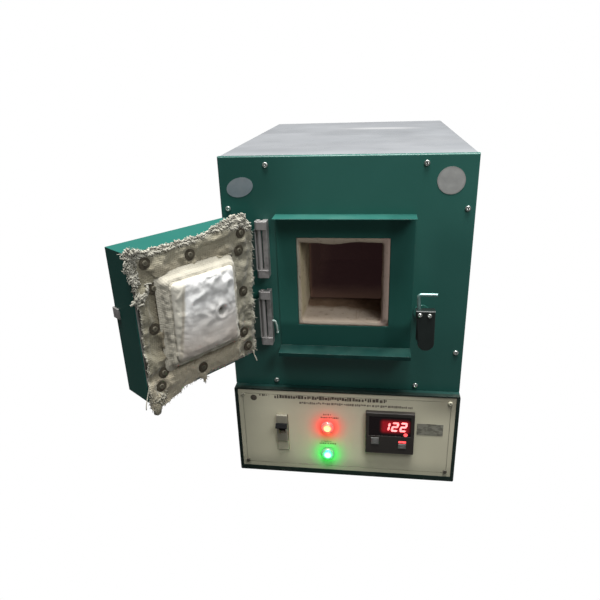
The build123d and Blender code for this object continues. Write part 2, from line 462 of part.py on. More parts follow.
# ---------------------------------------------------------------- latch
P = -LATCH_POST
post = cyl_y(11.0, -2.0, 0, LATCH_X, LATCH_Z) + cyl_y(6.0, P, -1.0, LATCH_X, LATCH_Z)
post -= cyl_y(2.45, P - 1, P + 16, LATCH_X, LATCH_Z)
save("latch_post", post)
pb = cyl_y(2.45, P - 2.8, P + 16, LATCH_X, LATCH_Z) + cyl_y(4.5, P - 5.6, P - 2.5, LATCH_X, LATCH_Z)
save("latch_pivot_bolt", pb)
lp = bx(95.5, 116.0, P - 2.2, P - 0.3, 262, 306)
lp = fillet(lp.edges().filter_by(Axis.Y), 3.0)
lp += bx(95.3, 99.3, P - 2.2, P - 0.3, 296, 322)
lp -= cyl_y(2.5, P - 5, P + 1, LATCH_X, LATCH_Z)
LSCREWS = [(98.6, 303.2), (110.6, 302.4)]
for sx, sz in LSCREWS:
    lp -= cyl_y(1.5, P - 5, P + 1, sx, sz)
save("latch_plate", lp)
RY = P - 2.2 - ROD_R
rod = tube([(97.6, RY, 306.6), (96.4, RY, 327.2), (119.8, RY, 327.2)], ROD_R, 3.2)
save("latch_rod", rod)
g0, g1 = P - 13.2, P - 2.2
with BuildSketch(Plane.XZ) as gs:
    with BuildLine():
        Polyline((93.4, 308.2), (117.6, 308.2), (118.2, 264.0))
        ThreePointArc((118.2, 264.0), (108.6, 252.8), (97.6, 264.0))
        Line((97.6, 264.0), (93.4, 308.2))
    make_face()
grip = Pos(0, g1, 0) * extrude(gs.sketch, amount=g1 - g0)
# the profile is extruded towards the front of the furnace
gb = grip.bounding_box()
grip = Pos(0, g0 - gb.min.Y, 0) * grip
grip = fillet(grip.faces().sort_by(Axis.Y)[0].edges(), 1.6)
grip -= cyl_y(6.5, g1 - 4.2, g1 + 1, LATCH_X, LATCH_Z)
grip -= bx(94.6, 100.6, RY - ROD_R - 0.2, g1 + 1, 306.2, 312)
for sx, sz in LSCREWS:
    grip -= cyl_y(1.5, g0 - 1, g1 + 1, sx, sz)
save("latch_grip", grip)
save("latch_screws", *[pan_head(sx, g0, sz, 2.7, 1.7, 1.45, g1 - g0 + 1.9) for sx, sz in LSCREWS])
print("door at rest, hinge axis", HINGE_X, round(HINGE_Y - Y_ORIGIN, 2))
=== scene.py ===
import math
import random

import bmesh
import bpy
import numpy as np
from mathutils import Matrix, Vector, noise


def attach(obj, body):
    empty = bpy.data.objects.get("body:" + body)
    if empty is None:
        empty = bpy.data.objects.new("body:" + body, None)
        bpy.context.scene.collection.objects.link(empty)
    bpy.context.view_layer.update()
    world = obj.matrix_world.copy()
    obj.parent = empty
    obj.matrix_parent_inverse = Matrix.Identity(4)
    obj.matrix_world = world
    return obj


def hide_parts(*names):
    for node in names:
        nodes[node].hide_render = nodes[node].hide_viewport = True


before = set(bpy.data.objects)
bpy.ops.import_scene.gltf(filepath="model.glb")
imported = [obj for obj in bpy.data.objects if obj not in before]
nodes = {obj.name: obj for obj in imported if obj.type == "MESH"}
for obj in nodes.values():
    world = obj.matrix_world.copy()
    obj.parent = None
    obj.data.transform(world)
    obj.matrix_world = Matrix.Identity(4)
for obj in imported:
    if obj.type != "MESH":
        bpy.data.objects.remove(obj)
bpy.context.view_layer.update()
scene = bpy.context.scene

# ------------------------------------------------------------------ frame helpers
# Shapes are drawn in millimetres in the drawing frame: x = 0 on the centre plane,
# y = 0 on the face of the upper front panel, z = 0 on the floor.
YO = 232.5
DOOR_X0, DOOR_X1 = -88.1, 83.3
DOOR_Z0, DOOR_Z1 = 223.8, 413.0
DOOR_IN, DOOR_OUT = -6.1, -54.4
HX, HY = -114.4, -10.8
OPEN = math.radians(-126.6)
DW = DOOR_X1 - DOOR_X0


def W(x, y, z):
    return Vector((x / 1000, (y - YO) / 1000, z / 1000))


def D(u, n, z):
    """Door coordinates: u from the hinge side, n out of the inner face, z up."""
    x, y = DOOR_X0 + u - HX, DOOR_IN + n - HY
    c, s = math.cos(OPEN), math.sin(OPEN)
    return W(HX + c * x - s * y, HY + s * x + c * y, z)


U_DIR = (D(1, 0, 0) - D(0, 0, 0)).normalized()
N_DIR = (D(0, 1, 0) - D(0, 0, 0)).normalized()


def new_mesh(name, verts, faces, material, body, smooth=True, coords=None):
    me = bpy.data.meshes.new(name)
    me.from_pydata([tuple(v) for v in verts], [], faces)
    me.validate(clean_customdata=False)
    ob = bpy.data.objects.new(name, me)
    scene.collection.objects.link(ob)
    if coords is not None:
        at = me.attributes.new("wv", "FLOAT_VECTOR", "POINT")
        at.data.foreach_set("vector", np.array(coords, np.float32).ravel())
    if material:
        me.materials.append(material)
    for p in me.polygons:
        p.use_smooth = smooth
    if body:
        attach(ob, body)
    return ob


def tubes(name, lines, radius, material, body, sides=5, coords=None):
    """One mesh of capped yarns; each line is (points, radius factor)."""
    verts, faces, wv = [], [], []
    for pts, k in lines:
        pts = [Vector(p) for p in pts]
        base = len(verts)
        n = len(pts)
        ref = Vector((0.31, 0.17, 0.93))
        for i, p in enumerate(pts):
            t = (pts[min(i + 1, n - 1)] - pts[max(i - 1, 0)]).normalized()
            a = t.cross(ref)
            if a.length < 1e-4:
                a = t.cross(Vector((1, 0, 0)))
            a.normalize()
            b = t.cross(a)
            r = radius * k * (0.75 if i in (0, n - 1) else 1.0)
            for j in range(sides):
                ang = 2 * math.pi * j / sides
                verts.append(p + a * (r * math.cos(ang)) + b * (r * math.sin(ang)))
                wv.append((i * 0.001, j * 0.0005, 0))
        for i in range(n - 1):
            for j in range(sides):
                j2 = (j + 1) % sides
                faces.append((base + i * sides + j, base + i * sides + j2,
                              base + (i + 1) * sides + j2, base + (i + 1) * sides + j))
        faces.append(tuple(base + j for j in reversed(range(sides))))
        faces.append(tuple(base + (n - 1) * sides + j for j in range(sides)))
    return new_mesh(name, verts, faces, material, body, coords=wv)


# ------------------------------------------------------------------ material helpers
class Mat:
    def __init__(self, name):
        self.m = bpy.data.materials.new(name)
        self.m.use_nodes = True
        self.t = self.m.node_tree
        self.t.nodes.clear()
        self.out = self.t.nodes.new("ShaderNodeOutputMaterial")
        self.b = self.t.nodes.new("ShaderNodeBsdfPrincipled")
        self.t.links.new(self.b.outputs[0], self.out.inputs[0])
        self._obj = None

    def n(self, kind, **kw):
        nd = self.t.nodes.new(kind)
        for k, v in kw.items():
            setattr(nd, k, v)
        return nd

    def put(self, sock, v):
        if isinstance(v, bpy.types.NodeSocket):
            self.t.links.new(v, sock)
        elif v is not None:
            if isinstance(v, (tuple, list)) and len(v) == 3 and sock.type == "RGBA":
                v = (*v, 1.0)
            sock.default_value = v
        return sock

    def set(self, **kw):
        names = {"color": "Base Color", "rough": "Roughness", "metal": "Metallic", "normal": "Normal",
                 "spec": "Specular IOR Level", "coat": "Coat Weight", "coat_rough": "Coat Roughness",
                 "sheen": "Sheen Weight", "sheen_rough": "Sheen Roughness", "emit": "Emission Color",
                 "emit_k": "Emission Strength", "ior": "IOR", "sss": "Subsurface Weight",
                 "trans": "Transmission Weight", "aniso": "Anisotropic"}
        for k, v in kw.items():
            self.put(self.b.inputs[names[k]], v)
        return self

    def obj(self):
        if self._obj is None:
            self._obj = self.n("ShaderNodeTexCoord").outputs["Object"]
        return self._obj

    def attr(self, name="wv"):
        return self.n("ShaderNodeAttribute", attribute_name=name).outputs["Vector"]

    def mapping(self, vec, scale=(1, 1, 1), loc=(0, 0, 0), rot=(0, 0, 0)):
        nd = self.n("ShaderNodeMapping")
        self.put(nd.inputs["Vector"], vec)
        nd.inputs["Scale"].default_value = scale
        nd.inputs["Location"].default_value = loc
        nd.inputs["Rotation"].default_value = rot
        return nd.outputs[0]

    def noise(self, scale, detail=3.0, rough=0.55, vec=None, dist=0.0, color=False):
        nd = self.n("ShaderNodeTexNoise")
        self.put(nd.inputs["Vector"], vec if vec is not None else self.obj())
        nd.inputs["Scale"].default_value = scale
        nd.inputs["Detail"].default_value = detail
        nd.inputs["Roughness"].default_value = rough
        nd.inputs["Distortion"].default_value = dist
        return nd.outputs["Color" if color else "Fac"]

    def voronoi(self, scale, vec=None, feature="F1"):
        nd = self.n("ShaderNodeTexVoronoi", feature=feature)
        self.put(nd.inputs["Vector"], vec if vec is not None else self.obj())
        nd.inputs["Scale"].default_value = scale
        return nd.outputs["Distance"]

    def math(self, op, a, b=None, c=None, clamp=False):
        nd = self.n("ShaderNodeMath", operation=op, use_clamp=clamp)
        self.put(nd.inputs[0], a)
        if b is not None:
            self.put(nd.inputs[1], b)
        if c is not None:
            self.put(nd.inputs[2], c)
        return nd.outputs[0]

    def mix(self, fac, a, b, blend="MIX"):
        nd = self.n("ShaderNodeMix", data_type="RGBA", blend_type=blend)
        self.put(nd.inputs[0], fac)
        self.put(nd.inputs[6], a)
        self.put(nd.inputs[7], b)
        return nd.outputs[2]

    def lerp(self, fac, a, b):
        nd = self.n("ShaderNodeMix", data_type="FLOAT")
        self.put(nd.inputs[0], fac)
        self.put(nd.inputs[2], a)
        self.put(nd.inputs[3], b)
        return nd.outputs[0]

    def ramp(self, fac, *stops, ease="LINEAR"):
        nd = self.n("ShaderNodeValToRGB")
        nd.color_ramp.interpolation = ease
        el = nd.color_ramp.elements
        while len(el) > len(stops):
            el.remove(el[-1])
        while len(el) < len(stops):
            el.new(0.5)
        for e, (p, c) in zip(el, stops):
            e.position = p
            e.color = (c, c, c, 1) if not isinstance(c, (tuple, list)) else (*c, 1)
        self.put(nd.inputs[0], fac)
        return nd.outputs[0]

    def range(self, v, a, b, c=0.0, d=1.0, smooth=False):
        nd = self.n("ShaderNodeMapRange")
        if smooth:
            nd.interpolation_type = "SMOOTHSTEP"
        self.put(nd.inputs[0], v)
        for i, x in zip((1, 2, 3, 4), (a, b, c, d)):
            nd.inputs[i].default_value = x
        return nd.outputs[0]

    def xyz(self, vec):
        nd = self.n("ShaderNodeSeparateXYZ")
        self.put(nd.inputs[0], vec)
        return nd.outputs[0], nd.outputs[1], nd.outputs[2]

    def bump(self, height, strength=0.5, distance=0.001, normal=None):
        nd = self.n("ShaderNodeBump")
        nd.inputs["Strength"].default_value = strength
        nd.inputs["Distance"].default_value = distance
        self.put(nd.inputs["Height"], height)
        if normal is not None:
            self.put(nd.inputs["Normal"], normal)
        return nd.outputs[0]

    def edge(self, radius=0.0012, samples=4):
        """0 on flat faces, up to 1 along sharp edges."""
        bv = self.n("ShaderNodeBevel", samples=samples)
        bv.inputs["Radius"].default_value = radius
        ge = self.n("ShaderNodeNewGeometry")
        dot = self.n("ShaderNodeVectorMath", operation="DOT_PRODUCT")
        self.put(dot.inputs[0], bv.outputs[0])
        self.put(dot.inputs[1], ge.outputs["Normal"])
        return self.range(dot.outputs["Value"], 0.995, 0.80, 0.0, 1.0), bv.outputs[0]

    def up(self):
        """1 on faces that look up, 0 on upright ones and below."""
        ge = self.n("ShaderNodeNewGeometry")
        return self.range(self.xyz(ge.outputs["Normal"])[2], 0.3, 0.9)


def wear(node, material):
    ob = nodes[node]
    ob.data.materials.clear()
    ob.data.materials.append(material.m if isinstance(material, Mat) else material)


def green_paint(name, tint=1.0, part="panel"):
    m = Mat(name)
    X, Y, Z = m.xyz(m.obj())
    cloud = m.noise(7.0, 4, 0.6)
    fine = m.noise(60.0, 3, 0.6)
    base = m.mix(m.ramp(cloud, (0.35, 0.0), (0.7, 1.0)), (0.021 * tint, 0.106 * tint, 0.085 * tint),
                 (0.027 * tint, 0.122 * tint, 0.100 * tint))
    if part == "panel":
        # painted shade: the panel is darker in its upper corner on the hinge side, on the right below the top, and
        # towards the bottom
        corner = m.math("MULTIPLY", m.range(Z, 0.37, 0.45, 0.0, 0.55, smooth=True), m.range(X, -0.03, -0.13, smooth=True))
        base = m.mix(corner, base, (0.006, 0.044, 0.036))
        right = m.math("MULTIPLY", m.range(X, 0.08, 0.13, 0.0, 0.38, smooth=True), m.range(Z, 0.44, 0.36, smooth=True))
        base = m.mix(right, base, (0.006, 0.046, 0.040))
        base = m.mix(m.range(Z, 0.30, 0.20, 0.0, 0.30, smooth=True), base, (0.006, 0.040, 0.034))
    if part == "frame":
        # painted shade: the lower ledge, below z 222 mm, is darkened where the top ledge shades it
        low = m.math("MULTIPLY", m.range(Z, 0.2235, 0.2215), m.range(m.noise(34.0, 4, 0.6), 0.3, 0.7, 0.80, 0.97))
        base = m.mix(low, base, (0.0020, 0.019, 0.017))
        base = m.mix(m.range(Z, 0.4125, 0.4140, 0.0, 0.42), base, (0.003, 0.050, 0.043))
        base = m.mix(m.math("MULTIPLY", m.range(Z, 0.262, 0.250, 0.0, 0.65, smooth=True), m.range(Z, 0.2215, 0.2235)), base, (0.006, 0.044, 0.037))
        base = m.mix(m.range(X, 0.050, 0.066, 0.0, 0.40, smooth=True), base, (0.006, 0.044, 0.037))
    if part == "door":
        # painted shade: door faces that do not look up are darkened
        base = m.mix(m.math("MULTIPLY", m.math("SUBTRACT", 1.0, m.up()), 0.55), m.mix(0.45, base, (0.001, 0.075, 0.062)), (0.003, 0.036, 0.028))
    if part != "door":
        dust = m.math("MULTIPLY", m.up(), m.ramp(m.noise(26.0, 5, 0.65), (0.42, 0.0), (0.75, 0.12)))
        base = m.mix(dust, base, (0.12, 0.22, 0.18))
    mask, bev = m.edge(0.0011)
    chips = m.math("MULTIPLY", mask, m.ramp(m.noise(55.0, 6, 0.7), (0.53, 0.0), (0.60, 1.0)), clamp=True)
    # painted highlight: a lighter teal along the sharp edges
    base = m.mix(m.math("MULTIPLY", mask, 0.30), base, (0.06, 0.22, 0.18))
    base = m.mix(m.math("MULTIPLY", chips, 0.55), base, (0.16, 0.19, 0.17))
    scr = m.noise(14.0, 6, 0.75, vec=m.mapping(m.obj(), scale=(1.0, 1.0, 9.0), rot=(0.3, 0.2, 0.5)))
    base = m.mix(m.ramp(scr, (0.70, 0.0), (0.76, 0.22)), base, (0.05, 0.17, 0.14))
    rough = m.range(m.noise(11.0, 4, 0.6), 0.3, 0.75, 0.30, 0.46) if part == "panel" else m.range(m.noise(11.0, 4, 0.6), 0.3, 0.75, 0.42, 0.56)
    peel = m.noise(420.0, 2, 0.5)
    nrm = m.bump(peel, 0.10, 0.0006, bev)
    nrm = m.bump(fine, 0.05, 0.0012, nrm)
    return m.set(color=base, rough=rough, normal=nrm, spec=0.4 if part == "panel" else 0.16)


def steel(name, color, rough=(0.25, 0.45), metal=0.9, grain=(1, 1, 30), stain=(0.30, 0.26, 0.24), k=0.5):
    m = Mat(name)
    g = m.noise(90.0, 4, 0.6, vec=m.mapping(m.obj(), scale=grain))
    spot = m.ramp(m.noise(38.0, 5, 0.7), (0.45, 0.0), (0.72, k))
    c = m.mix(m.range(g, 0.3, 0.7), tuple(0.82 * x for x in color), color)
    c = m.mix(spot, c, stain)
    mask, bev = m.edge(0.0006)
    # painted highlight: the sharp edges are lighter
    c = m.mix(m.math("MULTIPLY", mask, 0.35), c, tuple(min(1, 1.35 * x) for x in color))
    r = m.math("ADD", m.range(g, 0.3, 0.7, rough[0], rough[1]), m.math("MULTIPLY", spot, 0.25))
    return m.set(color=c, rough=r, metal=metal, normal=m.bump(g, 0.12, 0.0004, bev))


def plastic(name, color, rough=(0.3, 0.5), speck=0.25, spec=0.5, grain=900.0):
    m = Mat(name)
    c = m.mix(m.range(m.noise(22.0, 4, 0.6), 0.3, 0.75), color, tuple(x * (1 + speck) + 0.004 for x in color))
    mask, bev = m.edge(0.0005)
    # painted highlight: the sharp edges are lighter
    c = m.mix(m.math("MULTIPLY", mask, 0.3), c, tuple(x * 1.5 + 0.03 for x in color))
    r = m.range(m.noise(30.0, 3, 0.6), 0.3, 0.7, rough[0], rough[1])
    return m.set(color=c, rough=r, spec=spec, normal=m.bump(m.noise(grain, 2, 0.5), 0.08, 0.0004, bev))


# ------------------------------------------------------------------ paints, metals, plastics
GREEN = green_paint("green_paint")
DOOR_GREEN = green_paint("door_green_paint", 0.90, "door")
FRAME_GREEN = green_paint("frame_green_paint", 1.0, "frame")

# the control base is darker than the panel and is dulled by handling
m = Mat("base_paint")
X, Y, Z = m.xyz(m.obj())
base = m.mix(m.range(m.noise(9.0, 4, 0.6), 0.3, 0.7), (0.009, 0.019, 0.016), (0.014, 0.026, 0.021))
# painted light and shade: top faces behind y = -5.5 mm are a lighter teal, and the front strip of the top stays dark
painted_lit_band = m.math("MULTIPLY", m.up(), m.range(Y, (-8.0 - YO) / 1000, (-5.5 - YO) / 1000))
base = m.mix(m.math("MULTIPLY", painted_lit_band, m.range(m.noise(35.0, 4), 0.3, 0.6, 0.55, 1.0)), base, (0.009, 0.042, 0.036))
mask, bev = m.edge(0.0011)
base = m.mix(m.math("MULTIPLY", mask, m.range(m.noise(50.0, 5, 0.7), 0.35, 0.65, 0.05, 0.34)), base, (0.060, 0.072, 0.060))
smudge = m.ramp(m.noise(30.0, 5, 0.7), (0.52, 0.0), (0.74, 0.5))
base = m.mix(smudge, base, (0.045, 0.054, 0.044))
m.set(color=base, rough=m.range(m.noise(11.0, 4, 0.6), 0.3, 0.75, 0.46, 0.60), spec=0.16,
      normal=m.bump(m.noise(420.0, 2, 0.5), 0.10, 0.0006, bev))
BASE_GREEN = m

m = Mat("cover_paint")
cl = m.noise(5.0, 4, 0.6)
base = m.mix(m.range(cl, 0.3, 0.7), (0.212, 0.220, 0.231), (0.228, 0.239, 0.252))
smear = m.ramp(m.noise(4.5, 3, 0.5, vec=m.mapping(m.obj(), scale=(1.2, 1.9, 1.0), rot=(0, 0, 0.35))), (0.48, 0.0), (0.78, 0.42))
base = m.mix(smear, base, (0.275, 0.281, 0.290))
ux, uy, uz = m.xyz(m.mapping(m.obj(), loc=(-0.035, -0.115, 0.0), rot=(0, 0, 0.12)))
glare = m.math("SQRT", m.math("ADD", m.math("POWER", m.math("DIVIDE", ux, 0.075), 2.0), m.math("POWER", m.math("DIVIDE", uy, 0.020), 2.0)))
base = m.mix(m.math("MULTIPLY", m.range(glare, 0.2, 1.3, 0.55, 0.0, smooth=True), m.math("GREATER_THAN", uz, 0.485)), base, (0.44, 0.44, 0.44))
# painted light: the cover is lighter and bluer towards its front edge
front = m.range(m.xyz(m.obj())[1], (60.0 - YO) / 1000, (5.0 - YO) / 1000, 0.0, 0.6, smooth=True)
base = m.mix(front, base, (0.270, 0.285, 0.298))
mask, bev = m.edge(0.0014)
base = m.mix(m.math("MULTIPLY", mask, m.ramp(m.noise(40.0, 6, 0.7), (0.45, 0.2), (0.6, 1.0))), base, (0.33, 0.31, 0.27))
dots = m.ramp(m.noise(130.0, 3, 0.7), (0.72, 0.0), (0.76, 0.3))
base = m.mix(dots, base, (0.13, 0.13, 0.12))
rg = m.math("ADD", m.range(m.noise(9.0, 4, 0.6), 0.3, 0.7, 0.22, 0.34), m.math("MULTIPLY", smear, 0.1))
m.set(color=base, rough=rg, spec=0.5, normal=m.bump(m.noise(380.0, 2, 0.5), 0.07, 0.0006, bev))
COVER = m

m = Mat("fascia_paint")
X, Y, Z = m.xyz(m.obj())
base = m.mix(m.range(m.noise(6.0, 4, 0.6), 0.3, 0.7), (0.60, 0.575, 0.425), (0.66, 0.63, 0.475))
grime = m.ramp(m.noise(24.0, 6, 0.7), (0.50, 0.0), (0.78, 0.35))
base = m.mix(grime, base, (0.50, 0.47, 0.35))
low = m.range(Z, 0.045, 0.008, 0.0, 0.30)
side = m.math("MAXIMUM", m.range(X, 0.125, 0.162), m.range(Z, 0.118, 0.149))
base = m.mix(m.math("MULTIPLY", side, 0.42), base, (0.42, 0.385, 0.29))
base = m.mix(m.math("MULTIPLY", low, m.range(m.noise(40.0, 5, 0.7), 0.3, 0.7)), base, (0.36, 0.35, 0.25))
base = m.mix(m.range(Z, 0.036, 0.014, 0.0, 0.55, smooth=True), base, (0.34, 0.335, 0.245))
corner = m.math("MULTIPLY", m.range(X, 0.085, 0.150, smooth=True), m.range(Z, 0.098, 0.140, smooth=True))
base = m.mix(m.math("MULTIPLY", corner, 0.85), base, (0.27, 0.25, 0.185))
# the scribed border line: the face lies a little back there, and paint and dirt sit in it
inset = m.math("MULTIPLY", m.math("GREATER_THAN", Y, (-13.3 + 0.2 - YO) / 1000), m.math("LESS_THAN", Y, (-13.3 + 0.6 - YO) / 1000))
base = m.mix(m.math("MULTIPLY", inset, 0.6), base, (0.16, 0.16, 0.12))
# painted glow: the fascia is tinted red round the red lamp and green round the green lamp, as if lit by them
for lx, lz, lc in ((-25.9, 88.3, (0.80, 0.055, 0.060)), (-25.7, 39.5, (0.030, 0.62, 0.15))):
    ddx, ddz = m.math("SUBTRACT", X, lx / 1000), m.math("SUBTRACT", Z, lz / 1000)
    rad = m.math("SQRT", m.math("ADD", m.math("MULTIPLY", ddx, ddx), m.math("MULTIPLY", ddz, ddz)))
    base = m.mix(m.math("POWER", m.range(rad, 0.008, 0.036, 0.97, 0.0), 1.7), base, lc)
mask, bev = m.edge(0.0006)
base = m.mix(m.math("MULTIPLY", mask, 0.35), base, (0.33, 0.31, 0.24))
m.set(color=base, rough=m.range(m.noise(15.0, 3), 0.3, 0.7, 0.33, 0.5), spec=0.45,
      normal=m.bump(m.noise(500.0, 2), 0.06, 0.0005))
FASCIA = m

ZINC = steel("zinc_steel", (0.52, 0.53, 0.52), (0.32, 0.5), 0.9, (1, 1, 1))
SCREW = steel("screw_steel", (0.60, 0.63, 0.60), (0.24, 0.4), 0.85, (1, 1, 1), (0.22, 0.20, 0.17), 0.45)
HINGE = steel("hinge_steel", (0.42, 0.405, 0.395), (0.34, 0.52), 0.55, (14, 14, 1), (0.10, 0.088, 0.085), 0.85)
m = Mat("hinge_leaf_steel")
X, Y, Z = m.xyz(m.obj())
ax, ay = m.math("ADD", X, 0.1144), m.math("ADD", Y, (10.8 + YO) / 1000)
far = m.range(m.math("SQRT", m.math("ADD", m.math("MULTIPLY", ax, ax), m.math("MULTIPLY", ay, ay))), 0.0052, 0.0066)
g = m.noise(90.0, 4, 0.6, vec=m.mapping(m.obj(), scale=(14, 14, 1)))
base = m.mix(m.range(g, 0.3, 0.7), (0.34, 0.33, 0.32), (0.42, 0.405, 0.395))
base = m.mix(far, base, m.mix(m.range(m.noise(40.0, 4), 0.3, 0.7), (0.010, 0.024, 0.020), (0.022, 0.040, 0.034)))
m.set(color=base, rough=m.range(g, 0.3, 0.7, 0.36, 0.52), metal=m.lerp(far, 0.55, 0.0), spec=0.2, normal=m.bump(g, 0.12, 0.0004))
LEAF = m
ROD = steel("bright_rod", (0.20, 0.33, 0.31), (0.36, 0.50), 0.7, (1, 1, 1), (0.09, 0.15, 0.14), 0.4)
m = Mat("fascia_screw_steel")
X, Y, Z = m.xyz(m.obj())
low = m.mix(m.range(m.noise(120.0, 4), 0.3, 0.7), (0.060, 0.055, 0.043), (0.14, 0.13, 0.10))
high = m.mix(m.range(m.noise(120.0, 4), 0.3, 0.7), (0.36, 0.345, 0.26), (0.48, 0.46, 0.36))
m.set(color=m.mix(m.math("GREATER_THAN", Z, 0.08), low, high), rough=0.5, spec=0.4, normal=m.bump(m.noise(400.0, 2), 0.1, 0.0004))
DARKSCREW = m
BLACKENED = steel("blackened_steel", (0.014, 0.018, 0.017), (0.45, 0.6), 0.1, (1, 1, 1), (0.02, 0.02, 0.02), 0.4)
WIRE = steel("heating_wire", (0.22, 0.19, 0.17), (0.5, 0.7), 0.6, (1, 1, 1), (0.10, 0.08, 0.07), 0.7)
BRASS = steel("brass", (0.72, 0.54, 0.24), (0.25, 0.4), 0.95, (1, 1, 1), (0.35, 0.25, 0.12), 0.4)
LEAFSCREW = steel("leaf_screw_steel", (0.08, 0.085, 0.08), (0.4, 0.55), 0.5, (1, 1, 1), (0.04, 0.04, 0.035), 0.5)
SLEEVE = plastic("wire_sleeve", (0.36, 0.46, 0.42), (0.35, 0.5))
BLACK = plastic("black_plastic", (0.010, 0.010, 0.011), (0.38, 0.5), 0.25, 0.35)
TOGGLE = plastic("toggle_black", (0.0035, 0.0035, 0.0038), (0.5, 0.6), 0.25, 0.15)
BAKELITE = plastic("black_bakelite", (0.007, 0.011, 0.010), (0.34, 0.48), 0.3, 0.35)
GREY = plastic("grey_plastic", (0.33, 0.34, 0.34), (0.4, 0.55))
LEAD = plastic("lead_insulation", (0.42, 0.06, 0.05), (0.35, 0.5))
TERM = plastic("terminal_ceramic", (0.72, 0.70, 0.63), (0.15, 0.3))
KEYS = plastic("key_rubber", (0.115, 0.115, 0.108), (0.5, 0.65), 0.2, 0.35)

m = Mat("breaker_plastic")
X, Y, Z = m.xyz(m.obj())
base = m.mix(m.range(m.noise(30.0, 4), 0.3, 0.7), (0.235, 0.222, 0.172), (0.295, 0.28, 0.22))
# a printed grey field below the toggle and the dark slot that the toggle moves in
fz = m.math("MULTIPLY", m.math("LESS_THAN", Z, 0.0605), m.math("GREATER_THAN", Z, 0.0455))
fx = m.math("MULTIPLY", m.math("GREATER_THAN", X, -0.1025), m.math("LESS_THAN", X, -0.0883))
base = m.mix(m.math("MULTIPLY", fz, fx), base, (0.20, 0.195, 0.16))
deep = m.range(Y, (-15.3 - YO) / 1000, (-14.9 - YO) / 1000)
slot_z = m.math("MULTIPLY", m.math("LESS_THAN", Z, 0.0948), m.math("GREATER_THAN", Z, 0.0752))
base = m.mix(m.math("MULTIPLY", deep, slot_z), base, (0.035, 0.035, 0.033))
base = m.mix(m.range(Z, 0.0640, 0.0600, 0.0, 0.85), base, (0.62, 0.585, 0.44))
mask, bev = m.edge(0.0006)
base = m.mix(m.math("MULTIPLY", mask, 0.4), base, (0.22, 0.21, 0.17))
m.set(color=base, rough=0.42, spec=0.45, normal=m.bump(m.noise(700.0, 2), 0.06, 0.0004, bev))
BREAKER = m

m = Mat("lamp_bezel")
ridge = m.math("SINE", m.math("MULTIPLY", m.noise(80.0, 2), 20.0))
m.set(color=m.mix(m.range(m.noise(60.0, 3), 0.3, 0.7), (0.34, 0.34, 0.32), (0.46, 0.46, 0.43)), metal=0.6,
      rough=m.range(m.noise(50.0, 3), 0.3, 0.7, 0.16, 0.30), normal=m.bump(ridge, 0.03, 0.0003))
# painted glow: the bezels emit a faint red above z 64 mm and green below, standing in for light from the lenses on them
zb = m.math("GREATER_THAN", m.xyz(m.obj())[2], 0.064)
m.set(emit=m.mix(m.range(m.noise(260.0, 3), 0.3, 0.7, 0.0, 0.35), m.mix(zb, (0.05, 0.50, 0.20), (0.80, 0.10, 0.07)), m.mix(zb, (0.02, 0.20, 0.08), (0.35, 0.03, 0.02))), emit_k=0.55)
BEZEL = m


def lamp(name, x, z, core, rim, k_core, k_rim, glass):
    m = Mat(name)
    X, Y, Z = m.xyz(m.obj())
    dx, dz = m.math("SUBTRACT", X, x / 1000), m.math("SUBTRACT", Z, z / 1000)
    r = m.math("SQRT", m.math("ADD", m.math("MULTIPLY", dx, dx), m.math("MULTIPLY", dz, dz)))
    # faceted dome: light and dark wedges round the lamp inside
    ang = m.math("ARCTAN2", dz, dx)
    facet = m.math("ABSOLUTE", m.math("SINE", m.math("MULTIPLY", ang, 7.0)))
    f = m.range(r, 0.0036, 0.0068, 0.0, 1.0, smooth=True)
    f = m.math("ADD", f, m.math("MULTIPLY", facet, m.range(r, 0.001, 0.006, 0.0, 0.18)), clamp=True)
    return m.set(color=glass, rough=0.18, spec=0.6, emit=m.mix(f, tuple(c * k_core for c in core), tuple(c * k_rim for c in rim)),
                 emit_k=1.0, normal=m.bump(facet, 0.2, 0.0006))


RED = lamp("red_lens", -25.9, 88.3, (1.0, 0.70, 0.26), (1.0, 0.20, 0.12), 2.0, 1.5, (0.8, 0.06, 0.04))
LIME = lamp("green_lens", -25.7, 39.5, (0.66, 1.0, 0.92), (0.10, 0.90, 0.50), 1.6, 1.1, (0.03, 0.7, 0.25))

# ------------------------------------------------------------------ controller
CF = -20.3
m = Mat("display_window")
X, Y, Z = m.xyz(m.obj())
# the lit figures glow into the smoked window round them
gx = m.math("MAXIMUM", m.math("SUBTRACT", 0.0590, X), m.math("SUBTRACT", X, 0.0925))
gz = m.math("MAXIMUM", m.math("SUBTRACT", 0.0925, Z), m.math("SUBTRACT", Z, 0.1065))
gx, gz = m.math("MAXIMUM", gx, 0.0), m.math("MAXIMUM", gz, 0.0)
gd = m.math("SQRT", m.math("ADD", m.math("MULTIPLY", gx, gx), m.math("MULTIPLY", gz, gz)))
painted_glow = m.math("POWER", m.range(gd, 0.0, 0.009, 1.0, 0.0, smooth=True), 2.0)
painted_glow = m.math("MULTIPLY", painted_glow, m.range(m.noise(300.0, 3), 0.3, 0.7, 0.75, 1.0))
m.set(color=(0.008, 0.004, 0.005), rough=0.22, spec=0.3, emit=m.mix(painted_glow, (0, 0, 0), (0.30, 0.004, 0.010)), emit_k=1.0)
WINDOW = m

m = Mat("controller_case")
X, Y, Z = m.xyz(m.obj())
base = m.mix(m.range(m.noise(28.0, 3), 0.3, 0.7), (0.0245, 0.0215, 0.0190), (0.0340, 0.0290, 0.0255))
mask, bev = m.edge(0.0009)
# painted highlight: the sharp edges are much lighter
base = m.mix(m.math("MULTIPLY", mask, 0.5), base, (0.125, 0.105, 0.088))
m.set(color=base, rough=m.range(m.noise(60.0, 3), 0.3, 0.7, 0.40, 0.5), spec=0.35,
      normal=m.bump(m.noise(1100.0, 2), 0.12, 0.0004, bev))
CASE = m

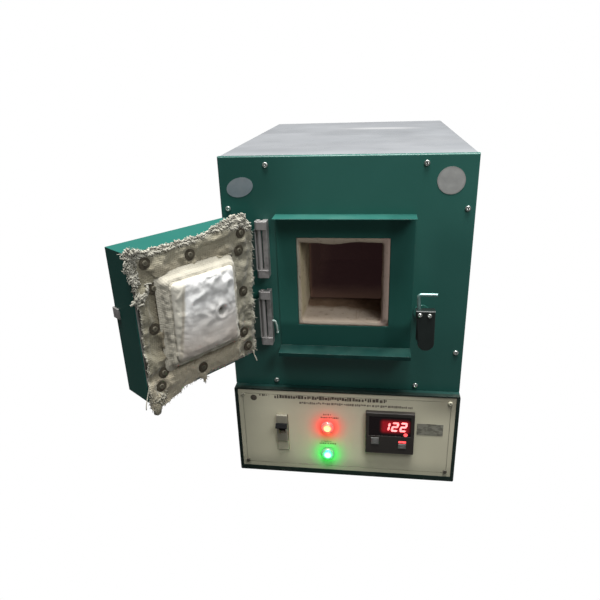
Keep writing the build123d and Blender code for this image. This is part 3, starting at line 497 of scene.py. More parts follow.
# ------------------------------------------------------------------ ceramics and boards
MXC, MZC = -2.5, 319.0
m = Mat("refractory_lining")
X, Y, Z = m.xyz(m.obj())
dep = m.math("ADD", Y, YO / 1000)                       # depth behind the panel face, metres
warp = m.math("MULTIPLY", m.math("SUBTRACT", m.noise(22.0, 4, 0.6), 0.5), 0.034)
depw = m.math("ADD", dep, warp)
floor_m = m.range(Z, 0.262, 0.268, 1.0, 0.0)
cream = m.mix(m.range(m.noise(30.0, 5, 0.65), 0.3, 0.72), (0.34, 0.275, 0.20), (0.45, 0.385, 0.30))
wall_m = m.math("MULTIPLY", m.range(X, -0.0575, -0.0600), m.range(dep, 0.001, 0.006))
cream = m.mix(m.math("MULTIPLY", wall_m, 0.8), cream, (0.31, 0.275, 0.175))
pink = m.range(X, 0.046, 0.052, 0.0, 0.75)
lip = m.math("MULTIPLY", m.range(X, -0.0625, -0.0645), 0.7)
cream = m.mix(lip, cream, (0.33, 0.40, 0.33))
cream = m.mix(m.math("MULTIPLY", floor_m, 0.7), cream, (0.36, 0.300, 0.245))
cream = m.mix(pink, cream, (0.36, 0.24, 0.215))
brown = m.mix(m.range(m.noise(45.0, 4, 0.6), 0.3, 0.7), (0.115, 0.072, 0.044), (0.19, 0.125, 0.082))
f1 = m.lerp(floor_m, m.range(depw, 0.078, 0.090), m.range(m.math("ADD", depw, m.range(X, 0.0, 0.05, 0.0, 0.02)), 0.046, 0.062))
body = m.mix(f1, cream, brown)
dark = m.mix(m.noise(40.0, 3), (0.060, 0.032, 0.026), (0.085, 0.050, 0.038))
body = m.mix(m.lerp(floor_m, m.range(depw, 0.088, 0.100), m.range(depw, 0.080, 0.098)), body, dark)
soot = m.math("MULTIPLY", m.range(Z, 0.352, 0.377), m.range(dep, 0.004, 0.02))
body = m.mix(m.math("MULTIPLY", soot, 0.85), body, (0.05, 0.034, 0.026))
crack = m.ramp(m.voronoi(26.0, vec=m.mapping(m.obj(), scale=(1.0, 0.7, 1.0)), feature="DISTANCE_TO_EDGE"), (0.0, 1.0), (0.010, 0.0))
crack = m.math("MULTIPLY", crack, m.ramp(m.noise(12.0, 3), (0.5, 0.0), (0.6, 0.35)))
body = m.mix(crack, body, (0.13, 0.09, 0.06))
body = m.mix(m.range(dep, 0.0004, 0.0030, 0.55, 0.0), body, (0.125, 0.115, 0.098))
grain = m.noise(300.0, 5, 0.7)
pits = m.ramp(m.noise(120.0, 4, 0.6), (0.30, 0.0), (0.42, 1.0))
body = m.mix(m.math("MULTIPLY", m.math("SUBTRACT", 1.0, pits), 0.5), body, (0.12, 0.09, 0.06))
nrm = m.bump(grain, 0.25, 0.0010)
nrm = m.bump(pits, 0.35, 0.0012, nrm)
nrm = m.bump(m.noise(55.0, 4), 0.35, 0.0035, nrm)
m.set(color=body, rough=0.92, spec=0.2, normal=nrm)
LINING = m

m = Mat("chamber_ceramic")
base = m.mix(m.range(m.noise(18.0, 5, 0.65), 0.3, 0.7), (0.050, 0.026, 0.024), (0.078, 0.042, 0.036))
base = m.mix(m.ramp(m.noise(60.0, 4), (0.55, 0.0), (0.75, 0.4)), base, (0.036, 0.020, 0.019))
dep = m.math("ADD", m.xyz(m.obj())[1], YO / 1000)
# painted light: the chamber is lighter near its mouth, and faint emission near the mouth, on the left side and on the
# left wall stands in for light reaching in
near = m.range(m.math("ADD", dep, m.math("MULTIPLY", m.math("SUBTRACT", m.noise(22.0, 4, 0.6), 0.5), 0.05)), 0.100, 0.165, 1.0, 0.0)
base = m.mix(near, base, (0.150, 0.092, 0.066))
X, Y, Z = m.xyz(m.obj())
edge2 = m.range(m.math("ADD", dep, m.math("MULTIPLY", m.math("SUBTRACT", m.noise(26.0, 4, 0.6), 0.5), 0.045)), 0.100, 0.142, 1.0, 0.0)
left = m.math("MULTIPLY", m.range(X, -0.0585, -0.0610), edge2)
painted_glow = m.mix(m.math("MULTIPLY", near, m.range(m.noise(30.0, 4), 0.3, 0.7, 0.5, 1.0)), (0.0112, 0.0056, 0.0058), (0.030, 0.0185, 0.0135))
painted_glow = m.mix(m.range(X, -0.038, -0.060, 0.0, 0.6, smooth=True), painted_glow, (0.0175, 0.0098, 0.0082))
painted_glow = m.mix(m.math("MULTIPLY", left, m.range(Z, 0.376, 0.350, 0.35, 1.0)), painted_glow, (0.060, 0.0340, 0.0210))
m.set(color=base, rough=0.88, spec=0.25, emit=painted_glow, emit_k=1.0, normal=m.bump(m.noise(240.0, 4), 0.3, 0.001))
CHAMBER = m

m = Mat("fibre_board")
fb = m.noise(90.0, 6, 0.7, vec=m.mapping(m.obj(), scale=(1, 3, 1)))
m.set(color=m.mix(m.range(fb, 0.3, 0.7), (0.56, 0.53, 0.46), (0.72, 0.69, 0.62)), rough=0.95, spec=0.1, sheen=0.2,
      normal=m.bump(fb, 0.5, 0.0015))
BOARD = m

# ------------------------------------------------------------------ cloths
DU = Vector((U_DIR.x, U_DIR.y, 0))


def weave(m, pitch, vec=None, skew=0.18):
    """Height of a plain weave with thick soft yarns, from the cloth's own coordinates in metres."""
    v = vec if vec is not None else m.attr()
    wob = m.noise(60.0, 2, 0.5, vec=v, color=True)
    nd = m.n("ShaderNodeVectorMath", operation="MULTIPLY_ADD")
    m.put(nd.inputs[0], wob)
    nd.inputs[1].default_value = (0.0016, 0.0016, 0.0)
    m.put(nd.inputs[2], v)
    a, b, _ = m.xyz(nd.outputs[0])
    a = m.math("DIVIDE", m.math("ADD", a, m.math("MULTIPLY", b, skew)), pitch)
    b = m.math("DIVIDE", b, pitch * 0.86)
    ha = m.math("ABSOLUTE", m.math("SINE", m.math("MULTIPLY", a, math.pi)))
    hb = m.math("ABSOLUTE", m.math("SINE", m.math("MULTIPLY", b, math.pi)))
    par = m.math("ABSOLUTE", m.math("MODULO", m.math("ADD", m.math("FLOOR", a), m.math("FLOOR", b)), 2.0))
    top = m.lerp(par, m.math("MULTIPLY", hb, m.math("ADD", 0.55, m.math("MULTIPLY", ha, 0.45))),
                 m.math("MULTIPLY", ha, m.math("ADD", 0.55, m.math("MULTIPLY", hb, 0.45))))
    ply = m.noise(900.0, 3, 0.6, vec=v)
    return top, ply


def cloth_material(name, light, mid, dark, pitch, brown_by_plug=None, bump=0.8, k=1.0):
    m = Mat(name)
    h, ply = weave(m, pitch)
    c = m.mix(m.range(m.noise(28.0, 5, 0.65), 0.32, 0.7), mid, light)
    c = m.mix(m.ramp(m.noise(9.0, 4, 0.6), (0.45, 0.0), (0.75, 0.55)), c, tuple(x * 0.72 for x in mid))
    if brown_by_plug:
        u, z, _ = m.xyz(m.attr())
        # browner next to the plug on its free side, below it and above it
        du = m.math("SUBTRACT", u, 0.1365)
        b1 = m.math("MULTIPLY", m.range(m.math("ABSOLUTE", m.math("SUBTRACT", du, 0.006)), 0.0, 0.015, 1.0, 0.0, smooth=True),
                    m.range(z, 0.245, 0.262, 0.25, 1.0))
        b1 = m.math("MULTIPLY", b1, m.range(z, 0.385, 0.350, 0.0, 1.0))
        b2 = m.range(m.math("ABSOLUTE", m.math("SUBTRACT", z, 0.256)), 0.0, 0.010, 0.6, 0.0, smooth=True)
        b3 = m.range(m.math("ABSOLUTE", m.math("SUBTRACT", z, 0.385)), 0.0, 0.014, 0.45, 0.0, smooth=True)
        b = m.math("MAXIMUM", m.math("MAXIMUM", b1, b2), b3)
        b = m.math("MULTIPLY", b, m.range(m.noise(24.0, 5, 0.7, vec=m.attr()), 0.3, 0.65, 0.55, 1.0), clamp=True)
        c = m.mix(b, c, brown_by_plug)
        patch_noise = m.range(m.noise(16.0, 4, 0.6, vec=m.attr()), 0.3, 0.65, 0.55, 1.0)
        # painted shade: the cloth is darker along the free side and along the hinge side; painted light: it is lighter
        # at the foot below the plug
        free = m.math("MULTIPLY", m.range(u, 0.136, 0.146, 0.0, 0.62), m.range(z, 0.396, 0.372))
        c = m.mix(m.math("MULTIPLY", free, patch_noise), c, (0.135, 0.125, 0.082))
        hinge = m.math("MULTIPLY", m.range(u, 0.036, 0.026, 0.0, 0.68), m.range(z, 0.400, 0.380))
        c = m.mix(m.math("MULTIPLY", hinge, patch_noise), c, (0.150, 0.150, 0.122))
        foot = m.math("MULTIPLY", m.range(z, 0.262, 0.252, 0.0, 0.75), m.range(u, 0.020, 0.034))
        c = m.mix(m.math("MULTIPLY", foot, patch_noise), c, (0.50, 0.435, 0.325))
        # painted shade: cloth faces that look up are darkened
        c = m.mix(m.math("MULTIPLY", m.up(), 0.45), c, (0.17, 0.16, 0.12))
    else:
        # painted light and shade: faces that look up are pulled to one fixed tone, darker on the plug band and lighter
        # on the hanging tab
        c = m.mix(m.math("MULTIPLY", m.up(), 0.62), c, (0.235, 0.225, 0.185))
    gap = m.range(h, 0.12, 0.55, 0.62 * k, 0.0)
    c = m.mix(gap, c, dark)
    fray = m.math("MULTIPLY", m.xyz(m.attr())[2], 1000.0)
    c = m.mix(m.math("MULTIPLY", fray, m.range(m.noise(180.0, 4, 0.7), 0.35, 0.6, 0.6, 1.0)), c, (0.50, 0.485, 0.41))
    c = m.mix(m.range(ply, 0.35, 0.7, 0.0, 0.25), c, tuple(min(1, x * 1.25) for x in light))
    nrm = m.bump(h, bump, 0.0011)
    nrm = m.bump(ply, 0.35, 0.0006, nrm)
    nrm = m.bump(m.noise(120.0, 4, 0.7, vec=m.attr()), 0.3, 0.0018, nrm)
    m.set(color=c, rough=0.95, spec=0.12, sheen=0.25, sheen_rough=0.5, normal=nrm)
    return m


GASKET = cloth_material("gasket_cloth", (0.335, 0.31, 0.232), (0.28, 0.257, 0.188), (0.12, 0.105, 0.07), 0.0027,
                        brown_by_plug=(0.120, 0.090, 0.056), bump=0.32, k=0.26)
BAND = cloth_material("plug_band_cloth", (0.44, 0.415, 0.345), (0.375, 0.35, 0.28), (0.20, 0.18, 0.135), 0.0030, bump=0.30, k=0.32)
TABC = cloth_material("cloth_tab_cloth", (0.20, 0.185, 0.135), (0.155, 0.14, 0.10), (0.08, 0.07, 0.05), 0.0027, bump=0.4, k=0.3)

m = Mat("plug_face_cloth")
f1n = m.noise(26.0, 5, 0.65)
base = m.mix(m.range(f1n, 0.3, 0.7), (0.57, 0.57, 0.555), (0.68, 0.68, 0.67))
h, ply = weave(m, 0.0017, skew=0.05)
base = m.mix(m.range(h, 0.1, 0.5, 0.10, 0.0), base, (0.42, 0.41, 0.38))
u, z, _ = m.xyz(m.attr())
du, dz = m.math("SUBTRACT", u, 0.064), m.math("SUBTRACT", z, 0.3165)
r = m.math("SQRT", m.math("ADD", m.math("MULTIPLY", du, du), m.math("MULTIPLY", dz, dz)))
# darker and pinker towards the foot; painted shade in the dimple
base = m.mix(m.math("MULTIPLY", m.range(z, 0.336, 0.282, 0.0, 1.0), m.range(m.noise(18.0, 4), 0.3, 0.65, 0.7, 1.0)), base, (0.365, 0.312, 0.262))
base = m.mix(m.range(r, 0.0034, 0.0058, 0.85, 0.0, smooth=True), base, (0.19, 0.185, 0.165))
base = m.mix(m.ramp(m.noise(70.0, 4, 0.7), (0.66, 0.0), (0.74, 0.4)), base, (0.40, 0.34, 0.27))
lean = m.range(z, 0.270, 0.366, 0.1285, 0.1165)
rim_u = m.math("MINIMUM", m.math("SUBTRACT", u, 0.0388), m.math("SUBTRACT", lean, u))
rim_z = m.math("MINIMUM", m.math("SUBTRACT", z, 0.2681), m.math("SUBTRACT", 0.3679, z))
rim = m.math("ADD", m.math("MINIMUM", rim_u, rim_z), m.math("MULTIPLY", m.math("SUBTRACT", m.noise(40.0, 4), 0.5), 0.006))
base = m.mix(m.range(rim, 0.0015, 0.0060, 0.85, 0.0, smooth=True), base, (0.47, 0.445, 0.365))
off = m.math("ABSOLUTE", m.math("SUBTRACT", m.math("SUBTRACT", lean, u), 0.0012))
shade = m.math("MULTIPLY", m.range(off, 0.0004, 0.0030, 0.6, 0.0, smooth=True), m.range(m.noise(30.0, 4), 0.3, 0.6, 0.4, 1.0))
base = m.mix(m.math("MULTIPLY", shade, m.range(z, 0.362, 0.350)), base, (0.25, 0.21, 0.165))
# painted shade: faces that look up are darker
base = m.mix(m.math("MULTIPLY", m.up(), 0.22), base, (0.33, 0.325, 0.30))
nrm = m.bump(m.noise(240.0, 5, 0.7, vec=m.attr()), 0.30, 0.0012)
nrm = m.bump(h, 0.18, 0.0005, nrm)
m.set(color=base, rough=0.93, spec=0.12, sheen=0.3, sheen_rough=0.6, normal=nrm)
FACE = m

m = Mat("yarn")
yn = m.noise(60.0, 4, 0.6)
base = m.mix(m.range(yn, 0.3, 0.7), (0.25, 0.24, 0.195), (0.42, 0.405, 0.345))
# painted shade: yarn faces that look up are darker
base = m.mix(m.math("MULTIPLY", m.up(), 0.40), base, (0.19, 0.185, 0.155))
base = m.mix(m.range(m.xyz(m.obj())[2], 0.262, 0.240, 0.0, 0.6), base, (0.22, 0.205, 0.155))
tw = m.math("SINE", m.math("MULTIPLY", m.noise(700.0, 2), 18.0))
m.set(color=base, rough=0.95, spec=0.1, sheen=0.3, normal=m.bump(tw, 0.25, 0.0004))
YARN = m

m = Mat("washer_steel")
w1 = m.noise(150.0, 4, 0.65)
base = m.mix(m.range(w1, 0.3, 0.7), (0.040, 0.033, 0.022), (0.085, 0.072, 0.050))
base = m.mix(m.ramp(m.noise(320.0, 3), (0.55, 0.0), (0.68, 0.5)), base, (0.15, 0.13, 0.09))
m.set(color=base, rough=m.range(w1, 0.3, 0.7, 0.5, 0.75), metal=0.3, normal=m.bump(m.noise(400.0, 3), 0.4, 0.0006))
WASHER = m
m = Mat("cloth_screw_steel")
m.set(color=m.mix(m.range(m.noise(180.0, 3), 0.3, 0.7), (0.075, 0.068, 0.048), (0.14, 0.128, 0.092)), rough=0.7, metal=0.2,
      normal=m.bump(m.noise(500.0, 3), 0.3, 0.0005))
CSCREW = m

# ------------------------------------------------------------------ plates on the panel
m = Mat("plain_plates")
X, Y, Z = m.xyz(m.obj())


def rect(m, X, Z, x0, x1, z0, z1):
    a = m.math("MULTIPLY", m.math("GREATER_THAN", X, x0 / 1000), m.math("LESS_THAN", X, x1 / 1000))
    b = m.math("MULTIPLY", m.math("GREATER_THAN", Z, z0 / 1000), m.math("LESS_THAN", Z, z1 / 1000))
    return m.math("MULTIPLY", a, b)


silver = m.mix(m.range(m.noise(90.0, 4), 0.3, 0.7), (0.20, 0.195, 0.155), (0.27, 0.265, 0.215))
patch_noise = m.ramp(m.noise(210.0, 3, 0.6, vec=m.mapping(m.obj(), scale=(0.55, 1.0, 1.0))), (0.50, 0.0), (0.58, 0.75))
silver = m.mix(patch_noise, silver, (0.11, 0.105, 0.08))
left = m.mix(m.range(m.noise(80.0, 4), 0.3, 0.7), (0.155, 0.185, 0.205), (0.205, 0.235, 0.255))
# painted sheen: the left plate is lighter towards its top
left = m.mix(m.range(Z, 0.440, 0.464, 0.0, 0.35), left, (0.27, 0.30, 0.315))
dxr, dzr = m.math("SUBTRACT", X, 0.134), m.math("SUBTRACT", Z, 0.459)
rr = m.math("DIVIDE", m.math("SQRT", m.math("ADD", m.math("MULTIPLY", dxr, dxr), m.math("MULTIPLY", dzr, dzr))), 0.0175)
right = m.mix(m.range(m.noise(90.0, 4), 0.3, 0.7), (0.29, 0.29, 0.28), (0.37, 0.37, 0.355))
right = m.mix(m.range(rr, 0.88, 1.0, 0.0, 0.6), right, (0.19, 0.19, 0.18))
c = m.mix(m.math("GREATER_THAN", Z, 0.3), silver, m.mix(m.math("GREATER_THAN", X, 0.0), left, right))
c = m.mix(m.ramp(m.noise(130.0, 4), (0.5, 0.0), (0.8, 0.3)), c, (0.3, 0.3, 0.28))
m.set(color=c, rough=0.4, spec=0.4)
PLATES = m

m = Mat("print_black")
m.set(color=m.mix(m.range(m.noise(200.0, 4, 0.7), 0.35, 0.7), (0.055, 0.045, 0.035), (0.14, 0.12, 0.095)), rough=0.6, spec=0.3)
PRINT = m
m = Mat("print_grey")
m.set(color=m.mix(m.range(m.noise(200.0, 4, 0.7), 0.35, 0.7), (0.15, 0.13, 0.10), (0.24, 0.215, 0.17)), rough=0.6, spec=0.3)
PRINT2 = m

# ------------------------------------------------------------------ dress the frame's nodes
for n_, mat_ in {
    "outer_cover": COVER, "rear_panel": COVER, "base_rear_panel": COVER, "front_panel": GREEN, "door_frame_plate": FRAME_GREEN,
    "base_casing": BASE_GREEN, "door_shell": DOOR_GREEN, "hinge_leaf_upper": LEAF, "hinge_leaf_lower": LEAF, "latch_post": GREEN,
    "cabinet_floor": ZINC, "control_fascia": FASCIA, "front_panel_screws": SCREW, "fascia_screws": DARKSCREW,
    "rear_panel_screws": SCREW, "hinge_leaf_screws": LEAFSCREW, "latch_screws": SCREW, "hinge_bracket_upper": HINGE,
    "hinge_bracket_lower": HINGE, "hinge_pins": HINGE, "door_keeper": HINGE, "bonding_wire": SLEEVE,
    "muffle_throat": LINING, "muffle_chamber": CHAMBER, "heating_coil": WIRE, "insulation_left": BOARD,
    "insulation_right": BOARD, "insulation_top": BOARD, "insulation_bottom": BOARD, "insulation_rear": BOARD,
    "door_insulation": BOARD, "thermocouple": TERM, "heater_terminal_block": TERM, "power_contactor": GREY,
    "terminal_strip": BLACK, "cable_gland": BLACK, "earth_terminal": BRASS, "internal_leads": LEAD,
    "breaker_body": BREAKER, "breaker_toggle": TOGGLE, "lamp_bodies": BEZEL, "red_lamp_lens": RED,
    "green_lamp_lens": LIME, "controller_case": CASE, "controller_window": WINDOW, "controller_key_left": KEYS,
    "controller_key_right": KEYS, "blank_plates": PLATES, "door_inner_plate": ZINC, "door_plug": BOARD,
    "plug_cloth": FACE, "gasket_cloth": GASKET, "cloth_washers": WASHER, "cloth_screws": CSCREW,
    "plug_bolt": CSCREW, "door_knob": BAKELITE, "latch_pivot_bolt": SCREW, "latch_plate": BLACKENED,
    "latch_rod": ROD, "latch_grip": BAKELITE,
}.items():
    wear(n_, mat_)

# ------------------------------------------------------------------ camera
cam = bpy.data.cameras.new("camera")
cam_ob = bpy.data.objects.new("camera", cam)
scene.collection.objects.link(cam_ob)
scene.camera = cam_ob
cam.sensor_width = 36.0
cam.lens = 32.99
cam.clip_start, cam.clip_end = 0.05, 60
yaw, pitch, roll = math.radians(8.41), math.radians(22.4), math.radians(-2.01)
fwd = Vector((-math.sin(yaw) * math.cos(pitch), math.cos(yaw) * math.cos(pitch), -math.sin(pitch)))
right0 = Vector((math.cos(yaw), math.sin(yaw), 0))
up0 = right0.cross(fwd)
rgt = math.cos(roll) * right0 + math.sin(roll) * up0
upv = -math.sin(roll) * right0 + math.cos(roll) * up0
cam_ob.matrix_world = Matrix((
    (rgt.x, upv.x, -fwd.x, 0.0421), (rgt.y, upv.y, -fwd.y, -0.9460), (rgt.z, upv.z, -fwd.z, 0.5894), (0, 0, 0, 1)))

# ------------------------------------------------------------------ light
scene.view_settings.view_transform = "Standard"
scene.view_settings.look = "None"
world = bpy.data.worlds.new("world")
scene.world = world
world.use_nodes = True
wt = world.node_tree
wt.nodes.clear()
wo = wt.nodes.new("ShaderNodeOutputWorld")
wm = wt.nodes.new("ShaderNodeMixShader")
wa, wb = wt.nodes.new("ShaderNodeBackground"), wt.nodes.new("ShaderNodeBackground")
wl = wt.nodes.new("ShaderNodeLightPath")
wa.inputs[0].default_value, wa.inputs[1].default_value = (0.92, 0.97, 1.0, 1), 0.07
wb.inputs[0].default_value, wb.inputs[1].default_value = (1, 1, 1, 1), 1.0
wt.links.new(wl.outputs["Is Camera Ray"], wm.inputs[0])
wt.links.new(wa.outputs[0], wm.inputs[1])
wt.links.new(wb.outputs[0], wm.inputs[2])
wt.links.new(wm.outputs[0], wo.inputs[0])


def light(name, kind, energy, loc, aim=None, color=(1, 1, 1), **kw):
    la = bpy.data.lights.new(name, kind)
    la.energy, la.color = energy, color
    for k, v in kw.items():
        setattr(la, k, v)
    lo = bpy.data.objects.new(name, la)
    scene.collection.objects.link(lo)
    lo.location = loc
    if aim is not None:
        lo.rotation_mode = "QUATERNION"
        lo.rotation_quaternion = (Vector(aim) - Vector(loc)).to_track_quat("-Z", "Y")
    return lo


light("ceiling", "SUN", 9.7, (0.10, -0.14, 3.0), (0, 0, 0), (1.0, 0.99, 0.98), angle=math.radians(30))
light("window", "AREA", 12.5, (0.75, -1.05, 1.45), (0.02, -0.24, 0.42), (0.97, 0.99, 1.0), shape="RECTANGLE", size=0.6, size_y=0.6)
light("red_spill", "POINT", 0.030, W(-25.9, -25.5, 88.3), None, (1.0, 0.030, 0.025), shadow_soft_size=0.004)
light("green_spill", "POINT", 0.026, W(-25.7, -25.5, 39.5), None, (0.010, 1.0, 0.14), shadow_soft_size=0.004)
behind = bpy.data.collections.new("behind_lamps")
behind.objects.link(nodes["control_fascia"])
for l in ("red_spill", "green_spill"):
    bpy.data.objects[l].visible_camera = False
    bpy.data.objects[l].light_linking.blocker_collection = behind
# daylight that reaches into the mouth
mouth = bpy.data.collections.new("mouth")
for nm_, e_, aim_ in (("mouth_high", 0.17, (-0.12, 0.60, -0.79)), ("mouth_side", 0.92, (-0.75, 0.56, -0.34)), ("mouth_low", 0.28, (-0.22, 0.94, -0.26))):
    lo_ = light(nm_, "SUN", e_, (0, 0, 2), Vector((0, 0, 2)) + Vector(aim_), (1.0, 0.93, 0.86), angle=math.radians(58 if nm_ == "mouth_side" else 24))
    lo_.light_linking.receiver_collection = mouth

fl = bpy.data.meshes.new("floor")
R = 30.0
fl.from_pydata([(-R, -R, 0), (R, -R, 0), (R, R, 0), (-R, R, 0)], [], [(0, 1, 2, 3)])
floor = bpy.data.objects.new("floor", fl)
scene.collection.objects.link(floor)
floor.location.z = -0.0002
m = Mat("floor")
m.set(color=(0.055, 0.055, 0.055), rough=0.9, spec=0.0)
lp_ = m.n("ShaderNodeLightPath")
em_ = m.n("ShaderNodeEmission")
mx_ = m.n("ShaderNodeMixShader")
m.t.links.new(lp_.outputs["Is Camera Ray"], mx_.inputs[0])
m.t.links.new(m.b.outputs[0], mx_.inputs[1])
m.t.links.new(em_.outputs[0], mx_.inputs[2])
m.t.links.new(mx_.outputs[0], m.out.inputs[0])
fl.materials.append(m.m)

# ------------------------------------------------------------------ lit figures, legends
FY = -13.3


def slab(name, rects, y, t, material, body, lean=0.0):
    """Flat printed or lit shapes: each rect is a list of (x, z) corners in order, in mm."""
    verts, faces = [], []
    for pts in rects:
        b = len(verts)
        k = len(pts)
        zmin = min(p[1] for p in pts)
        for yy in (y - t, y + 0.02):
            for px, pz in pts:
                verts.append(W(px, yy, pz))
        faces.append(tuple(b + i for i in range(k)))
        faces.append(tuple(b + k + i for i in reversed(range(k))))
        for i in range(k):
            j = (i + 1) % k
            faces.append((b + i, b + k + i, b + k + j, b + j))
    ob = new_mesh(name, verts, faces, material.m, body, smooth=False)
    bm = bmesh.new()
    bm.from_mesh(ob.data)
    bmesh.ops.recalc_face_normals(bm, faces=bm.faces)
    bm.to_mesh(ob.data)
    bm.free()
    return ob


def seven(ch, x0, z0, w, h, t, lean=0.16):
    segs = {"0": "abcdef", "1": "bc", "2": "abged", "3": "abgcd", "4": "fgbc", "5": "afgcd", "6": "afgcde", "7": "abc",
            "8": "abcdefg", "9": "abcdfg"}[ch]
    g = t * 0.02
    hm = h / 2
    out = []

    def hbar(z):
        return [(g + t * .1, z), (g + t * .6, z + t / 2), (w - g - t * .6, z + t / 2), (w - g - t * .1, z), (w - g - t * .6, z - t / 2), (g + t * .6, z - t / 2)]

    def vbar(x, za, zb):
        return [(x, za + g), (x - t / 2, za + g + t / 2), (x - t / 2, zb - g - t / 2), (x, zb - g), (x + t / 2, zb - g - t / 2), (x + t / 2, za + g + t / 2)]

    bars = {"a": hbar(h - t / 2), "g": hbar(hm), "d": hbar(t / 2), "f": vbar(t / 2, hm, h - t / 2), "b": vbar(w - t / 2, hm, h - t / 2),
            "e": vbar(t / 2, t / 2, hm), "c": vbar(w - t / 2, t / 2, hm)}
    for s in segs:
        out.append([(x0 + px + lean * pz, z0 + pz) for px, pz in bars[s]])
    return out


m = Mat("lit_figures")
X, Y, Z = m.xyz(m.obj())
m.set(color=(0.5, 0.02, 0.02), rough=0.4, emit=m.mix(m.range(m.noise(260.0, 2), 0.3, 0.7), (3.0, 0.46, 0.46), (3.6, 0.80, 0.78)), emit_k=1.0)
LIT = m
WY = CF + 0.30
shapes = []
for i, ch in enumerate("122"):
    shapes += seven(ch, 56.6 + i * 12.4, 91.0, 10.2, 16.6, 3.0)
slab("display_figures", shapes, WY, 0.10, LIT, "cabinet")

m = Mat("lit_small")
m.set(color=(0.4, 0.02, 0.02), rough=0.4, emit=m.mix(m.range(m.noise(300.0, 2), 0.3, 0.7), (1.5, 0.09, 0.10), (2.2, 0.20, 0.20)), emit_k=1.0)
SMALL = m


def disc(x, z, r, k=14):
    return [(x + r * math.cos(2 * math.pi * i / k), z + r * math.sin(2 * math.pi * i / k)) for i in range(k)]


slab("display_point", [disc(91.4, 85.8, 3.0)], WY, 0.10, SMALL, "cabinet")
slab("controller_led_bar", [[(81.5, 71.2), (92.5, 71.2), (92.5, 74.6), (81.5, 74.6)]], CF, 0.12, SMALL, "cabinet")

m = Mat("key_legend")
m.set(color=m.mix(m.range(m.noise(240.0, 3), 0.3, 0.7), (0.16, 0.16, 0.15), (0.27, 0.27, 0.26)), rough=0.5)
LEG = m
slab("key_legend_left", [[(43.2, 75.6), (49.4, 75.6), (49.4, 76.6), (43.2, 76.6)], [(43.2, 72.8), (49.4, 72.8), (49.4, 73.8), (43.2, 73.8)],
                         [(44.2, 69.9), (48.4, 69.9), (48.4, 70.9), (44.2, 70.9)]], CF - 1.0, 0.06, LEG, "key_left")
slab("key_legend_right", [[(83.6, 66.6), (89.9, 66.6), (89.9, 67.5), (83.6, 67.5)], [(84.6, 63.6), (88.9, 63.6), (88.9, 64.5), (84.6, 64.5)]],
     CF - 1.0, 0.06, LEG, "key_right")

# ------------------------------------------------------------------ plain printed bands on the fascia
rng = random.Random(4)


def dashes(x0, x1, z0, z1, lo, hi, gap):
    """A row of plain upright bars of uneven width and height."""
    out, x = [], x0
    while x < x1:
        w = rng.uniform(lo, hi)
        za = z0 + (z1 - z0) * rng.choice((0, 0.04, 0.1, 0.3))
        zb = z1 - (z1 - z0) * rng.choice((0, 0.05, 0.1, 0.25))
        out.append([(x, za), (min(x + w, x1), za), (min(x + w, x1), zb), (x, zb)])
        x += w + gap * rng.choice((1, 1, 1, 2.6))
    return out


bands = dashes(-106.0, 62.0, 135.6, 142.0, 2.0, 4.6, 0.55)
bands += dashes(-129.0, -114.0, 138.6, 142.4, 1.2, 2.6, 0.9)
bands += [disc(-138.0, 135.2, 5.0, 20)]
slab("printed_band_upper", bands, FY, 0.05, PRINT, "cabinet")
bands = dashes(-68.0, 100.0, 127.6, 131.8, 1.4, 3.4, 0.55)
slab("printed_band_lower", bands, FY, 0.05, PRINT2, "cabinet")
marks = dashes(-32.0, -20.5, 109.3, 111.9, 1.3, 2.0, 0.7) + dashes(-36.0, -9.0, 103.9, 106.5, 1.2, 2.4, 0.7)
marks += dashes(-35.5, -20.0, 60.6, 62.8, 1.2, 2.2, 0.7) + dashes(-38.5, -13.0, 56.6, 59.2, 1.2, 2.4, 0.7)
slab("printed_lamp_marks", marks, FY, 0.05, PRINT, "cabinet")

# ------------------------------------------------------------------ throat lining with its hand-worked rim
nz = noise.noise


